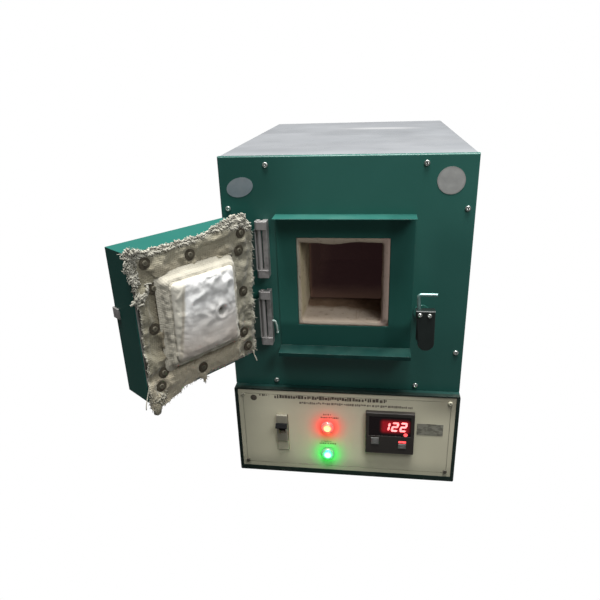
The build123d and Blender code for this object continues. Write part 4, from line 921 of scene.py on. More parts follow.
def throat_shape():
    X0, X1, Z0, Z1 = -61.6, 51.6, 259.0, 376.4
    OX0, OX1, OZ0, OZ1 = -66.0, 61.0, 254.5, 383.6

    def loop(x0, x1, z0, z1, r, n=44):
        pts = []
        for (ax, az, bx_, bz) in ((x0, z0, x1, z0), (x1, z0, x1, z1), (x1, z1, x0, z1), (x0, z1, x0, z0)):
            for i in range(n):
                t = i / n
                pts.append([ax + (bx_ - ax) * t, az + (bz - az) * t])
        out = []
        for px, pz in pts:
            # soften the corners
            cx = min(max(px, x0 + r), x1 - r)
            cz = min(max(pz, z0 + r), z1 - r)
            d = math.hypot(px - cx, pz - cz)
            if d > r and abs(px - cx) > 1e-6 and abs(pz - cz) > 1e-6:
                px, pz = cx + (px - cx) * r / d, cz + (pz - cz) * r / d
            out.append((px, pz))
        return out

    stations = [
        (OX0, OX1, OZ0, OZ1, 1.0, 2.0, 0.15), (OX0, OX1, OZ0, OZ1, 1.2, -0.3, 0.25), (OX0 + .8, OX1 - .8, OZ0 + .8, OZ1 - .8, 1.6, -1.0, 0.35),
        (OX0 + 1.6, OX1 - 4.0, OZ0 + 1.9, OZ1 - 3.2, 2.0, -1.1, 0.4), (X0 - 1.7, X1 + 2.0, Z0 - 1.5, Z1 + 1.8, 2.6, -0.9, 0.5),
        (X0 - .7, X1 + .7, Z0 - .7, Z1 + .6, 3.0, 0.3, 0.6), (X0, X1, Z0, Z1, 3.0, 2.6, 0.8),
    ]
    y = 4.0
    while y < 92.0:
        stations.append((X0, X1, Z0, Z1, 3.0, y, 0.7))
        y += 4.0
    stations.append((X0, X1, Z0, Z1, 3.0, 92.0, 0.4))
    B = 76.25
    mx, mz = (X0 + X1) / 2, (Z0 + Z1) / 2
    stations += [(mx - B, mx + B, mz - B, mz + B, 2.0, 92.0, 0.0), (mx - B, mx + B, mz - B, mz + B, 2.0, 1.7, 0.0),
                 (OX0, OX1, OZ0, OZ1, 1.0, 1.7, 0.0)]
    verts, faces = [], []
    N = 176
    for si, (x0, x1, z0, z1, r, y, amp) in enumerate(stations):
        lp = loop(x0, x1, z0, z1, r)
        for k, (px, pz) in enumerate(lp):
            yy = y
            if amp:
                q0 = min(1.0, max(0.0, y / 30.0))
                px += 2.1 * q0 * (1 if px < 0 and abs(px - x0) < 1.0 and x0 == X0 else 0)
                v = Vector((px * 0.045, y * 0.03, pz * 0.045))
                f = Vector((px * 0.19, y * 0.12, pz * 0.19))
                dx_ = (nz(v) * 1.1 + nz(f) * 0.5) * amp
                dz_ = (nz(v + Vector((7, 3, 1))) * 1.1 + nz(f + Vector((3, 9, 2))) * 0.5) * amp
                top = max(0.0, min(1.0, (pz - (z1 - 4)) / 4)) if si >= 3 else 0.0
                if top > 0 and si >= 4:
                    t = (px - X0) / (X1 - X0)
                    sag = 2.9 * math.exp(-((t - 0.40) / 0.16) ** 2) + 0.9 * math.exp(-((t - 0.13) / 0.07) ** 2) - 0.7 * math.exp(-((t - 0.70) / 0.12) ** 2)
                    dz_ -= top * sag * math.exp(-max(0.0, y) / 26.0)
                # the knocked lower right corner
                if si <= 7:
                    q = math.exp(-((px - x1) ** 2 + (pz - z0) ** 2) / 30.0)
                    dx_ -= 1.8 * q
                    dz_ += 1.6 * q
                    yy += 1.1 * q
                px, pz = px + dx_, pz + dz_
                yy += nz(f + Vector((1, 5, 8))) * 0.35 if 1 <= si <= 5 else 0.0
            verts.append(W(px, yy, pz))
    S = len(stations)
    for si in range(S):
        sj = (si + 1) % S
        for k in range(N):
            k2 = (k + 1) % N
            faces.append((si * N + k, si * N + k2, sj * N + k2, sj * N + k))
    ob = new_mesh("throat_lining", verts, faces, LINING.m, "cabinet")
    bm = bmesh.new()
    bm.from_mesh(ob.data)
    bmesh.ops.recalc_face_normals(bm, faces=bm.faces)
    bm.to_mesh(ob.data)
    bm.free()
    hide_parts("muffle_throat")
    return ob


mouth.objects.link(throat_shape())
for n_ in ("muffle_chamber", "heating_coil"):
    mouth.objects.link(nodes[n_])

# ------------------------------------------------------------------ cloth on the door
SCREW_UZ = [(10.6, 402.8), (90.5, 393.3), (151.2, 398.2), (15.9, 380.1), (13.2, 322.7), (17.5, 264.0),
            (12.2, 241.0), (144.6, 365.9), (150.6, 316.5), (146.5, 256.2), (152.6, 239.5), (89.4, 239.4)]
PU0, PU1 = -56.1 - DOOR_X0, 48.2 - DOOR_X0      # plug outline: u 32.0 to 136.3
PZ0, PZ1 = 261.3, 374.7
SC = 10.0       # the cloth is simulated ten times as large


def to_door(co):
    """Door coordinates in mm to the row frame."""
    return [D(a, b, c) for a, b, c in co]


def run_cloth(name, verts, faces, pins, gravity, grow, frames, colliders=(), bend=0.5, tension=12.0, mass=0.25, air=1.0, dist=0.02):
    me = bpy.data.meshes.new(name + "_sim")
    me.from_pydata([(u / 1000 * SC, n / 1000 * SC, z / 1000 * SC) for u, n, z in verts], [], faces)
    ob = bpy.data.objects.new(name + "_sim", me)
    scene.collection.objects.link(ob)
    vg = ob.vertex_groups.new(name="pin")
    for i, w in pins.items():
        vg.add([i], w, "REPLACE")
    cols = []
    for cv, cf in colliders:
        cm = bpy.data.meshes.new("col")
        cm.from_pydata([(u / 1000 * SC, n / 1000 * SC, z / 1000 * SC) for u, n, z in cv], [], cf)
        co = bpy.data.objects.new("col", cm)
        scene.collection.objects.link(co)
        md = co.modifiers.new("c", "COLLISION")
        co.collision.thickness_outer = 0.01
        co.collision.cloth_friction = 20
        cols.append(co)
    g0 = tuple(scene.gravity)
    scene.gravity = gravity
    md = ob.modifiers.new("Cloth", "CLOTH")
    s = md.settings
    s.quality = 6
    s.mass = mass
    s.air_damping = air
    s.tension_stiffness = s.compression_stiffness = tension
    s.shear_stiffness = tension * 0.4
    s.bending_stiffness = bend
    s.tension_damping = s.compression_damping = 8
    s.shear_damping = 8
    s.bending_damping = 1.0
    s.vertex_group_mass = "pin"
    s.shrink_min = -grow
    s.shrink_max = -grow
    c = md.collision_settings
    c.use_collision = bool(colliders)
    c.distance_min = dist
    c.use_self_collision = False
    md.point_cache.frame_start, md.point_cache.frame_end = 1, frames + 1
    scene.frame_start, scene.frame_end = 1, frames + 1
    for f in range(1, frames + 1):
        scene.frame_set(f)
    ev = ob.evaluated_get(bpy.context.evaluated_depsgraph_get())
    out = [tuple(v.co * (1000 / SC)) for v in ev.to_mesh().vertices]
    ev.to_mesh_clear()
    scene.frame_set(1)
    scene.gravity = g0
    for o in [ob, *cols]:
        mm = o.data
        bpy.data.objects.remove(o)
        bpy.data.meshes.remove(mm)
    return out


def fbm(x, y, z, octaves=3):
    return noise.fractal(Vector((x, y, z)), 0.9, 2.1, octaves, noise_basis="PERLIN_ORIGINAL")


def box_col(u0, u1, n0, n1, z0, z1):
    v = [(u0, n0, z0), (u1, n0, z0), (u1, n1, z0), (u0, n1, z0), (u0, n0, z1), (u1, n0, z1), (u1, n1, z1), (u0, n1, z1)]
    f = [(0, 3, 2, 1), (4, 5, 6, 7), (0, 1, 5, 4), (1, 2, 6, 5), (2, 3, 7, 6), (3, 0, 4, 7)]
    return v, f


def finish_soft(ob, thickness, levels, offset=1.0):
    if thickness:
        sd = ob.modifiers.new("solid", "SOLIDIFY")
        sd.thickness = thickness
        sd.offset = offset
        sd.use_even_offset = False
    if levels:
        sb = ob.modifiers.new("sub", "SUBSURF")
        sb.levels = sb.render_levels = levels
    bpy.context.view_layer.update()
    ev = ob.evaluated_get(bpy.context.evaluated_depsgraph_get())
    me = bpy.data.meshes.new_from_object(ev, preserve_all_data_layers=True, depsgraph=bpy.context.evaluated_depsgraph_get())
    old = ob.data
    ob.modifiers.clear()
    ob.data = me
    bpy.data.meshes.remove(old)
    for p in me.polygons:
        p.use_smooth = True
    return ob


def near_pin(u, z):
    return min(math.hypot(u - a, z - b) for a, b in SCREW_UZ)


def step(x, a, b):
    t = max(0.0, min(1.0, (x - a) / (b - a)))
    return t * t * (3 - 2 * t)


def bell(x, c, w):
    return math.exp(-((x - c) / w) ** 2)


# outline of the cloth: it stands up at the hinge corner and hangs at the lower free corner
def top_z(u):
    z = 413.4 + 13.0 * math.exp(-(max(u, 0.0) / 56.0) ** 4) + 6.0 * bell(u, 168, 9)
    return z - 1.1 * max(0.0, 6.0 - u) + 0.7 * math.sin(u * 0.37) + 0.5 * math.sin(u * 0.9)


def low_z(u):
    return 228.3 - 4.0 * step(u, 70, 112) - 11.5 * bell(u, 87, 5.0) - 12.0 * step(u, 112, 144) + 0.8 * math.sin(u * 0.33)


def min_u(z):
    return -2.2 - 7.0 * bell(z, 380, 42) + 0.35 * max(0.0, z - 405) + 0.6 * math.sin(z * 0.41)


def max_u(z):
    return 169.0 - 1.7 * bell(z, 338, 28) + 2.4 * step(262 - z, 0, 30) + 7.0 * step(z, 368, 406) + 0.7 * math.sin(z * 0.29)


def band_low(u):
    return float(np.interp(u, [-5, 8, 25, 39, 60, 91, 120, 150, 180], [402, 404, 410, 414, 411, 406.5, 405.5, 404.5, 403]))


def sheet_relief(u, z):
    d = near_pin(u, z)
    lift = 1.0 - math.exp(-(d / 8.5) ** 2)
    n = 4.4 * fbm(u * 0.034, 3.1, z * 0.034) + 2.2 * fbm(u * 0.085, 1.7, z * 0.085) + 0.9 * fbm(u * 0.20, 5.7, z * 0.20)
    # the deep fold below the upper edge, on the hinge side
    zv = 400.0 - 0.083 * u
    w = step(u, 6, 20) * (1 - step(u, 66, 84))
    n += w * (-3.6 * bell(z, zv, 4.5) + 3.0 * bell(z, zv + 9.5, 5.0))
    # rolled free edge, foot and hinge side, slack between the screws
    n += 2.2 * bell(u, 165, 4.0) * (1 - step(z, 350, 372)) - 2.0 * bell(u, 149, 5.0) * (1 - step(z, 350, 372)) * step(z, 262, 275)
    n += 1.9 * bell(z, 241, 6) - 1.4 * bell(z, 254, 4.5) * step(u, 22, 34)
    n += 1.6 * math.sin((z - 262) * 0.105) * bell(u, 156, 9) * (1 - step(z, 350, 370))
    n += 1.4 * math.sin((z - 292) * 0.125) * bell(u, 12, 11) + 1.3 * math.sin((u - 20) * 0.12) * bell(z, 244, 9)
    for k, (a, b) in enumerate(SCREW_UZ):
        dd = math.hypot(u - a, z - b)
        if dd < 26:
            th = math.atan2(z - b, u - a)
            n += (1.1 * math.cos(4 * th + k * 1.7) + 0.6 * math.cos(7 * th + k * 0.9)) * bell(dd, 11.5, 6.0)
    return n * lift


def fray_at(u, z):
    f = step(z, band_low(u) - 2.5, band_low(u) + 2.0)
    f = max(f, step(u, 163, 170) * step(z, 352, 372))
    f = max(f, 0.6 * (1 - step(u, min_u(z) + 1.0, min_u(z) + 4.5)))
    f = max(f, 0.5 * step(u, max_u(z) - 4.0, max_u(z) - 1.0))
    return f


RIM = []        # points along the outer edge of the cloth, in door coordinates
SHEET = []      # all its points


def sheet_n(u, z):
    a = SHEET[0]
    d = (a[:, 0] - u) ** 2 + (a[:, 2] - z) ** 2
    i = np.argsort(d)[:4]
    return float(np.average(a[i, 1], weights=1 / (d[i] + 0.3)))


def gasket():
    stp = 3.0
    us = np.arange(-12.0, 181.0, stp)
    zs = np.arange(200.0, 430.0, stp)

    def keep(u, z):
        if not (min_u(z) < u < max_u(z) and low_z(u) < z < top_z(u)):
            return False
        return not (PU0 - 0.6 < u < PU1 + 0.6 and PZ0 - 0.6 < z < PZ1 + 0.6)

    idx, verts, faces = {}, [], []

    def vert(i, j):
        if (i, j) not in idx:
            idx[i, j] = len(verts)
            u, z = float(us[i]), float(zs[j])
            verts.append((u, 1.9, z))
        return idx[i, j]

    for i in range(len(us) - 1):
        for j in range(len(zs) - 1):
            if keep((us[i] + us[i + 1]) / 2, (zs[j] + zs[j + 1]) / 2):
                faces.append((vert(i, j), vert(i + 1, j), vert(i + 1, j + 1), vert(i, j + 1)))
    flat_area = len(faces) * (stp / 1000) ** 2
    # draw the stepped outline in to the smooth one
    for k, (u, n, z) in enumerate(verts):
        u2, z2 = u, z
        if z > top_z(u) - 1.6:
            z2 = top_z(u) - 0.3
        if z < low_z(u) + 1.6:
            z2 = low_z(u) + 0.3
        if u < min_u(z) + 1.6:
            u2 = min_u(z) + 0.3
        if u > max_u(z) - 1.6:
            u2 = max_u(z) - 0.3
        verts[k] = (u2, n, z2)
    wv = [(u / 1000, z / 1000, fray_at(u, z) / 1000) for u, _, z in verts]
    pins = {}
    for k, (u, n, z) in enumerate(verts):
        d = near_pin(u, z)
        if d < 6.2:
            pins[k] = 1.0
            verts[k] = (u, 0.75, z)
        elif PU0 - 5 < u < PU1 + 5 and PZ0 - 5 < z < PZ1 + 5:
            pins[k] = 0.35
    out = verts
    cols = [([(-60, 0, 150), (240, 0, 150), (240, 0, 480), (-60, 0, 480)], [(0, 1, 2, 3)]),
            box_col(PU0, PU1, -5, 14, PZ0, PZ1)]
    out = run_cloth("gasket", verts, faces, pins, (0, 1.2, -2.5), 0.05, 26, cols, bend=0.9, tension=14)
    res = []
    mid = float(np.median([q[1] for q in out]))
    for k, (u, n, z) in enumerate(out):
        u0, n0, z0 = verts[k]
        d = near_pin(u0, z0)
        n = 2.6 + 0.6 * max(-1.5, min(1.5, n - mid)) + sheet_relief(u0, z0)
        n = min(max(n, 0.45), 5.3)
        if d < 7.2:
            n = min(n, 0.85)
        elif d < 10:
            n = min(n, 0.85 + (d - 7.2) * 1.3)
        du, dz = max(-3.5, min(3.5, u - u0)), max(-3.5, min(3.5, z - z0))
        if u0 < 3 or u0 > 166 or z0 > 410 or z0 < 230:
            du, dz = du * 0.3, dz * 0.3
        # below the door the cloth hangs loose, above it the edge leans back a little
        if z0 < 223.5 and u0 > 75:
            n += 1.2 * fbm(u0 * 0.1, 2.2, z0 * 0.1)
        if z0 > 413.5:
            n -= (z0 - 413.5) * 0.10
        res.append((u0 + du, n, z0 + dz))
    SHEET.append(np.array(res))
    count = {}
    for f in faces:
        for a, b in zip(f, f[1:] + f[:1]):
            count[min(a, b), max(a, b)] = count.get((min(a, b), max(a, b)), 0) + 1
    for (a, b), c in count.items():
        if c == 1:
            ua, na, za = (Vector(res[a]) + Vector(res[b])) / 2
            if not (PU0 - 8 < ua < PU1 + 8 and PZ0 - 8 < za < PZ1 + 8):
                RIM.append((ua, na, za))
    ob = new_mesh("gasket_sheet", to_door(res), faces, GASKET.m, None, coords=wv)
    finish_soft(ob, 0.0013, 2, 1.0)
    # relief of the yarns, and a coarser pile where the edges are frayed
    co = np.zeros(len(ob.data.vertices) * 3, np.float32)
    ob.data.vertices.foreach_get("co", co)
    co = co.reshape(-1, 3)
    no = np.zeros(len(ob.data.vertices) * 3, np.float32)
    ob.data.vertices.foreach_get("normal", no)
    no = no.reshape(-1, 3)
    w = np.zeros(len(ob.data.vertices) * 3, np.float32)
    ob.data.attributes["wv"].data.foreach_get("vector", w)
    w = w.reshape(-1, 3) * 1000
    a, b = w[:, 0] / 2.7, w[:, 1] / 2.32
    par = (np.floor(a) + np.floor(b)) % 2
    ha, hb = np.abs(np.sin(a * np.pi)), np.abs(np.sin(b * np.pi))
    h = np.where(par > 0.5, ha, hb) - 0.6
    rough = np.array([fbm(x * 0.55, 1.0, y * 0.55, 2) for x, y in w[:, :2]], np.float32)
    co += no * (h * 0.00006 + rough * (0.00025 + 0.0019 * np.clip(w[:, 2], 0, 1)))[:, None]
    ob.data.vertices.foreach_set("co", co.ravel())
    ob.data.update()
    return ob, flat_area


gask, gask_area = gasket()
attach(gask, "door")
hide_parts("gasket_cloth")

# ------------------------------------------------------------------ wrap of the plug: stepped woven sides, white face
DU_, DZ_ = 64.0, 316.5      # the dimple


def rrect(u0, u1, z0, z1, r, n):
    """n points round a rounded rectangle, evenly spaced by length, from the middle of the lower side."""
    w, h = u1 - u0 - 2 * r, z1 - z0 - 2 * r
    per = 2 * w + 2 * h + 2 * math.pi * r
    out = []
    for i in range(n):
        s = per * i / n
        segs = [("b", w / 2), ("c1", math.pi * r / 2), ("r", h), ("c2", math.pi * r / 2), ("t", w), ("c3", math.pi * r / 2), ("l", h),
                ("c4", math.pi * r / 2), ("b2", w / 2)]
        for k, ln in segs:
            if s <= ln or k == "b2":
                break
            s -= ln
        if k == "b":
            p = ((u0 + u1) / 2 + s, z0)
        elif k == "b2":
            p = (u0 + r + s, z0)
        elif k == "r":
            p = (u1, z0 + r + s)
        elif k == "t":
            p = (u1 - r - s, z1)
        elif k == "l":
            p = (u0, z1 - r - s)
        else:
            c = {"c1": (u1 - r, z0 + r, -90), "c2": (u1 - r, z1 - r, 0), "c3": (u0 + r, z1 - r, 90), "c4": (u0 + r, z0 + r, 180)}[k]
            a = math.radians(c[2]) + s / r
            p = (c[0] + r * math.cos(a), c[1] + r * math.sin(a))
        out.append(p)
    return out


def warp(u, n, z):
    """The upper tier of the wrap sits a little askew: fuller at the foot of the free side and along the top."""
    k = step(n, 11.0, 17.5)
    wf = step(u, 92, 124)
    t = max(0.0, min(1.0, (z - 266) / 100))
    return u + k * wf * 2.4 * (1 - t) + k * wf * 0.6, n, z + k * step(z, 340, 364) * 2.4


def plug_band():
    # profile across the wrap: (inset, n); it flares on to the sheet at its foot
    prof = [(-7.5, 2.2), (-5.6, 3.4), (-3.8, 4.0), (-2.2, 4.9), (-1.0, 6.4), (-0.3, 8.2), (0.3, 9.8), (1.4, 11.2), (3.0, 12.0), (4.6, 12.2), (5.7, 12.8), (6.4, 14.2),
            (7.0, 14.9), (8.2, 15.0), (9.8, 14.4), (12.0, 13.4)]
    N = 320
    verts, wv, faces = [], [], []
    acc = [0.0]
    for a, b in zip(prof, prof[1:]):
        acc.append(acc[-1] + math.hypot(b[0] - a[0], b[1] - a[1]))
    per = 2 * (PU1 - PU0 + PZ1 - PZ0)
    cu, cz = (PU0 + PU1) / 2, (PZ0 + PZ1) / 2
    for pi_, (ins, n) in enumerate(prof):
        r = max(2.5, 7.0 - ins * 0.25)
        lp = rrect(PU0 + ins, PU1 - ins, PZ0 + ins, PZ1 - ins, r, N)
        for k, (u, z) in enumerate(lp):
            s = per * k / N
            du, dz = u - cu, z - cz
            L = math.hypot(du, dz)
            f = fbm(u * 0.045, n * 0.07, z * 0.045) + 0.55 * fbm(u * 0.13, n * 0.2, z * 0.13)
            g = fbm(u * 0.035 + 4, n * 0.05, z * 0.035)
            fine = fbm(u * 0.42, n * 0.42, z * 0.42, 2)
            amp = min(1.0, max(0.15, (n - 2) / 6.0)) * (1 - 0.75 * step(ins, 6.2, 8.5))
            # flare widest at the top and on the free side
            if ins < 0:
                free = step(u, 118, 136) + step(z, 360, 374) * step(u, 30, 60)
                k_out = 0.35 + 0.65 * min(1.0, free)
                u += (1 - k_out) * du / L * ins * 0.9
                z += (1 - k_out) * dz / L * ins * 0.9
            u += du / L * (f * 1.0 + fine * 0.25) * amp
            z += dz / L * (f * 1.0 + fine * 0.25) * amp
            n2 = n + (1.0 * f + 0.8 * g + 0.2 * fine) * amp
            if ins < -5:
                n2 = min(n2, 2.6)
            verts.append(warp(u, n2, z))
            wv.append((s / 1000, acc[pi_] / 1000, 0))
    for pi_ in range(len(prof) - 1):
        for k in range(N):
            k2 = (k + 1) % N
            faces.append((pi_ * N + k, pi_ * N + k2, (pi_ + 1) * N + k2, (pi_ + 1) * N + k))
    ob = new_mesh("plug_band", to_door(verts), faces, BAND.m, None, coords=wv)
    finish_soft(ob, 0.0009, 1, -1.0)
    return ob


# folds that run out from the dimple: angle (0 towards the free edge, 90 up), curl, spread, reach, height
FOLDS = [(28, 12, 7, 62, 1.5), (44, -8, 5, 48, -1.2), (60, 10, 7, 66, 1.8), (78, -14, 6, 58, -1.5), (96, 8, 7, 52, 1.7), (116, -6, 8, 40, -1.1),
         (138, 10, 10, 34, 1.2), (165, 4, 12, 26, -0.9), (6, -10, 7, 58, -1.1), (-16, 12, 9, 60, 1.0), (-42, 8, 10, 44, -0.9), (205, -8, 12, 26, 1.0),
         (240, 8, 12, 36, -0.8), (275, -12, 10, 46, 0.9), (305, 6, 10, 50, -0.8)]


def face_relief(u, z):
    du, dz = u - DU_, z - DZ_
    r = math.hypot(du, dz)
    th = math.degrees(math.atan2(dz, du))
    n = 0.0
    for a, curl, spread, reach, h in FOLDS:
        t = (r - 10) / 50
        da = (th - a - curl * t * 2 + 180) % 360 - 180
        across = math.radians(da) * r
        k = 1.0 if 10 < a < 150 else 0.45
        n += k * h * math.exp(-(across / (2.6 + spread * 0.36)) ** 2) * step(r, 7, 15) * (1 - step(r, reach * 0.6, reach))
    high = step(z - 0.15 * (u - 85), 300, 338)
    c1 = 1 - 2.2 * abs(fbm(u * 0.040 + 3, 9.1, z * 0.040, 2))
    c2 = 1 - 2.2 * abs(fbm(u * 0.085, 2.3, z * 0.085, 2))
    c3 = fbm(u * 0.26, 6.1, z * 0.26, 2)
    out = step(r, 9, 18)
    n += out * ((0.35 + 1.0 * high) * 1.25 * (c1 - 0.5) + (0.10 + 0.40 * high) * 0.7 * (c2 - 0.5)) + 0.14 * c3 * out
    n += 1.8 * bell(r, 9.0, 2.6) * (0.65 + 0.35 * math.cos(math.radians(th - 30)))
    return n


def plug_face():
    u0, u1, z0, z1 = PU0 + 6.8, PU1 - 6.8, PZ0 + 6.8, PZ1 - 6.8
    nu, nz_ = 60, 66
    verts, faces, wv, pins, edge_k = [], [], [], {}, []
    for j in range(nz_ + 1):
        for i in range(nu + 1):
            u, z = u0 + (u1 - u0) * i / nu, z0 + (z1 - z0) * j / nz_
            e = min(i, nu - i, j, nz_ - j)
            # rounded corners
            cu, cz = min(max(u, u0 + 7), u1 - 7), min(max(z, z0 + 7), z1 - 7)
            d2 = math.hypot(u - cu, z - cz)
            if d2 > 7 and u != cu and z != cz:
                u, z = cu + (u - cu) * 7 / d2, cz + (z - cz) * 7 / d2
            d = math.hypot(u - DU_, z - DZ_)
            n = float(np.interp(e, [0, 1, 2, 3, 4, 8], [14.9, 17.0, 18.2, 19.0, 19.4, 19.9]))
            n -= 6.6 * (1 - step(d, 2.4, 6.8))
            k = len(verts)
            verts.append((u, n, z))
            wv.append((u / 1000, z / 1000, 0))
            edge_k.append(e)
            if e <= 1:
                pins[k] = 1.0
            elif d < 3.4:
                pins[k] = 1.0
    for j in range(nz_):
        for i in range(nu):
            a = j * (nu + 1) + i
            faces.append((a, a + 1, a + nu + 2, a + nu + 1))
    out = verts
    out = run_cloth("face", verts, faces, pins, (0, 5.0, -1.6), 0.055, 30, (), bend=0.35, tension=10, mass=0.2)
    res = []
    for k, (u, n, z) in enumerate(out):
        a = verts[k]
        n = a[1] + 0.24 * max(-3.0, min(4.0, n - a[1]))
        u, z = a[0] + 0.5 * (u - a[0]), a[2] + 0.5 * (z - a[2])
        n += face_relief(a[0], a[2]) * step(edge_k[k], 0, 6)
        if edge_k[k] < 4:
            n += 2.2 * fbm(a[0] * 0.07, 1.0, a[2] * 0.07) * min(edge_k[k], 2) / 2
        u2, n2, z2 = warp(u, n, z)
        res.append((u2, min(n2, 25.5), z2))
    ob = new_mesh("plug_face", to_door(res), faces, FACE.m, None, coords=wv)
    finish_soft(ob, 0.0010, 1, -1.0)
    return ob


band = plug_band()
face = plug_face()
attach(band, "door")
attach(face, "door")
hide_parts("plug_cloth")
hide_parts("plug_cloth")


# ------------------------------------------------------------------ yarn ends, loops and the frayed corner
rng = random.Random(11)


def rv(s):
    return Vector((rng.uniform(-s, s), rng.uniform(-s, s), rng.uniform(-s, s)))


def loop_line(p, out, side, size, width, lift, wob=0.5, k=9):
    """A small loop of yarn that leaves p, in door coordinates."""
    pts = []
    tw = rng.uniform(-0.5, 0.5)
    for i in range(k):
        t = i / (k - 1)
        a = math.pi * t
        q = Vector(p) + Vector(out) * (size * math.sin(a)) + Vector(side) * (width * (-math.cos(a)) * 0.5)
        q += Vector((0, 1, 0)) * (lift * math.sin(a) + tw * math.sin(2 * a)) + rv(wob * 0.35)
        pts.append(D(q.x, q.y, q.z))
    return pts


def strand(p, direction, length, curl, k=8, droop=0.0):
    pts, q, d = [], Vector(p), Vector(direction).normalized()
    for i in range(k):
        pts.append(D(q.x, q.y, q.z))
        d = (d + rv(curl) + Vector((0, 0, -droop))).normalized()
        q = q + d * (length / (k - 1))
    return pts


def roll(p, direction, length, lift, k=8, wob=0.25):
    """A short thick roll of frayed cloth that rises off the sheet and goes back into it."""
    pts = []
    d = Vector(direction).normalized()
    bend = rv(0.5)
    for i in range(k):
        t = i / (k - 1)
        a = math.sin(math.pi * t)
        q = Vector(p) + d * (length * (t - 0.5)) + bend * (a * length * 0.25) + rv(wob)
        q.y = sheet_n(q.x, q.z) + p[1] + lift * (a - 0.55) + rng.uniform(-wob, wob)
        pts.append(D(q.x, min(q.y, 6.6), q.z))
    return pts


top_lines = []
u = -4.0
while u < 171.0:
    zt, zl = top_z(u), band_low(u)
    rows = max(1, int(round((zt - zl) / 3.6)))
    for j in range(rows):
        z = zt - 0.9 - (zt - zl - 1.0) * (j + rng.uniform(0.1, 0.7)) / rows if rows > 1 else zt - rng.uniform(0.3, 1.8)
        nn = rng.uniform(-0.5, 0.3)
        ang = math.radians(rng.choice((38, 38, 52, 20, -15, 75)) + rng.uniform(-14, 14))
        top_lines.append((roll((u + rng.uniform(-0.9, 0.9), nn, z), (math.cos(ang), rng.uniform(-0.1, 0.1), math.sin(ang)), rng.uniform(3.4, 6.4),
                               rng.uniform(0.8, 1.7), 7), rng.uniform(0.75, 1.25)))
    u += 2.5
for i in range(70):
    u = rng.uniform(-3, 172)
    top_lines.append((strand((u, rng.uniform(1.5, 4.2), top_z(u) - 0.5), (rng.uniform(-.9, .9), rng.uniform(-.4, .4), 0.8), rng.uniform(1.5, 4.0), 0.5), rng.uniform(0.25, 0.45)))
fringe_top = tubes("fringe_top", top_lines, 0.00105, YARN.m, "door", sides=7)

lines = []
for i in range(64):
    z = rng.uniform(374, 416)
    u = rng.uniform(162, max_u(z) - 1.0)
    if near_pin(u, z) < 8:
        continue
    ang = math.radians(rng.choice((-60, -75, -40, 20, 80, -100)) + rng.uniform(-22, 22))
    lines.append((roll((u, rng.uniform(-0.3, 0.9), z), (math.cos(ang), 0.0, math.sin(ang)), rng.uniform(4, 9), rng.uniform(0.9, 1.8), 9, 0.3),
                  rng.uniform(0.7, 1.4)))
for i in range(46):
    t = rng.uniform(0, 1)
    u, z = 171 - 27 * t + rng.gauss(0, 1.5), 356 + 13 * t + rng.gauss(0, 3.0)
    if near_pin(u, z) < 7.5:
        continue
    ang = math.radians(rng.choice((150, 135, 165, 100, 60)) + rng.uniform(-22, 22))
    lines.append((roll((u, rng.uniform(-0.3, 1.1), z), (math.cos(ang), 0.0, math.sin(ang)), rng.uniform(4, 10), rng.uniform(1.0, 2.0), 9, 0.3),
                  rng.uniform(0.7, 1.45)))
for i in range(70):
    z = rng.uniform(350, 416)
    lines.append((strand((max_u(z) - rng.uniform(0, 3), rng.uniform(1, 4), z), (1, rng.uniform(-.5, .5), rng.uniform(-.9, .5)), rng.uniform(2.5, 7), 0.55, droop=0.12),
                  rng.uniform(0.25, 0.5)))
fringe_corner = tubes("fringe_corner", lines, 0.00112, YARN.m, "door", sides=7)

lines = []
# thin ends along the free edge, the hinge side and the foot, each rooted in the edge of the cloth
for (ua, na, za) in RIM:
    for _ in range(2):
        if za > 402 or rng.random() < 0.45:
            continue
        side = -1 if ua < 40 and za > 240 else (1 if ua > 140 and za > 240 else 0)
        root = (ua - side * 1.2, na + rng.uniform(-0.4, 0.6), za + (1.2 if side == 0 else 0.0) + rng.uniform(-1.0, 1.0))
        if side:
            d = (side, rng.uniform(-.2, .6), rng.uniform(-1.2, 0.8))
        else:
            d = (rng.uniform(-1.0, 1.0), rng.uniform(-.2, .4), -1)
        lines.append((strand(root, d, rng.uniform(2.0, 4.2), 0.55, droop=0.12), rng.uniform(0.35, 0.8)))
lines.append((strand((4.4, 3.0, 231.0), (0.05, 0.1, -1), 17.0, 0.10, 12), 1.7))
lines.append((strand((2.8, 3.4, 240.0), (-0.2, 0.2, -1), 13.0, 0.2, 10), 1.3))
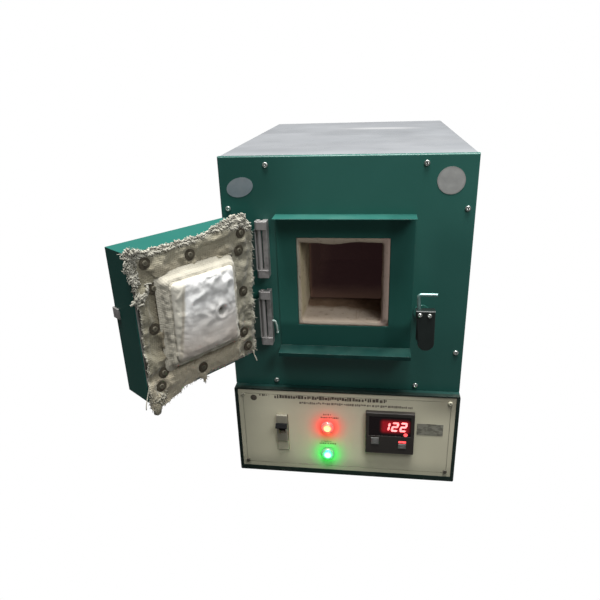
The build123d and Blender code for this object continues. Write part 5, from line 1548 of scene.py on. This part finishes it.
for i in range(34):
    u, z = rng.gauss(157, 6), rng.gauss(229, 7)
    if not (143 < u < 170 and 212 < z < 246) or near_pin(u, z) < 7.5:
        continue
    ang = math.radians(rng.uniform(0, 180))
    lines.append((roll((u, rng.uniform(-0.5, 0.4), z), (math.cos(ang), 0.0, math.sin(ang)), rng.uniform(4, 8), rng.uniform(0.8, 1.5), 8, 0.25), rng.uniform(1.2, 2.0)))
lines.append((strand((170.0, 3.0, 244.0), (0.40, 0.15, -1), 26.0, 0.08, 16, droop=0.05), 1.3))
fringe_edges = tubes("fringe_edges", lines, 0.00052, YARN.m, "door", sides=6)


# the end of the cloth that hangs from the lower free corner
def tab():
    verts, faces, wv = [], [], []
    NS, NR = 22, 30
    for j in range(NS):
        t = j / (NS - 1)
        z = 224.0 - 21.0 * t
        cu = 160.2 + 1.6 * math.sin(t * 2.2) + 1.2 * t
        cn = 1.9 + 1.2 * math.sin(t * 2.6)
        ru = (5.6 + 0.5 * math.sin(t * 5)) * (1.0 if t < 0.8 else math.sqrt(max(0.02, 1 - ((t - 0.8) / 0.2) ** 2)))
        rn = (2.6 + 0.8 * math.sin(t * math.pi)) * (1.0 if t < 0.8 else math.sqrt(max(0.02, 1 - ((t - 0.8) / 0.2) ** 2)))
        for i in range(NR):
            a = 2 * math.pi * i / NR
            fold = 1 + 0.10 * math.sin(3 * a + 1.3 + t * 2) + 0.10 * fbm(math.cos(a) * 1.4, t * 2.2, math.sin(a) * 1.4)
            verts.append((cu + ru * fold * math.cos(a), max(-1.0, cn + rn * fold * math.sin(a)), z + 0.8 * fbm(i * .3, t * 3, 1.1)))
            wv.append((a * 0.004, z / 1000, 0))
    for j in range(NS - 1):
        for i in range(NR):
            i2 = (i + 1) % NR
            faces.append((j * NR + i, (j + 1) * NR + i, (j + 1) * NR + i2, j * NR + i2))
    faces.append(tuple(range(NR)))
    faces.append(tuple((NS - 1) * NR + i for i in reversed(range(NR))))
    ob = new_mesh("cloth_tab", to_door(verts), faces, TABC.m, None, coords=wv)
    finish_soft(ob, 0, 1)
    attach(ob, "door")
    return ob


tab_ob = tab()
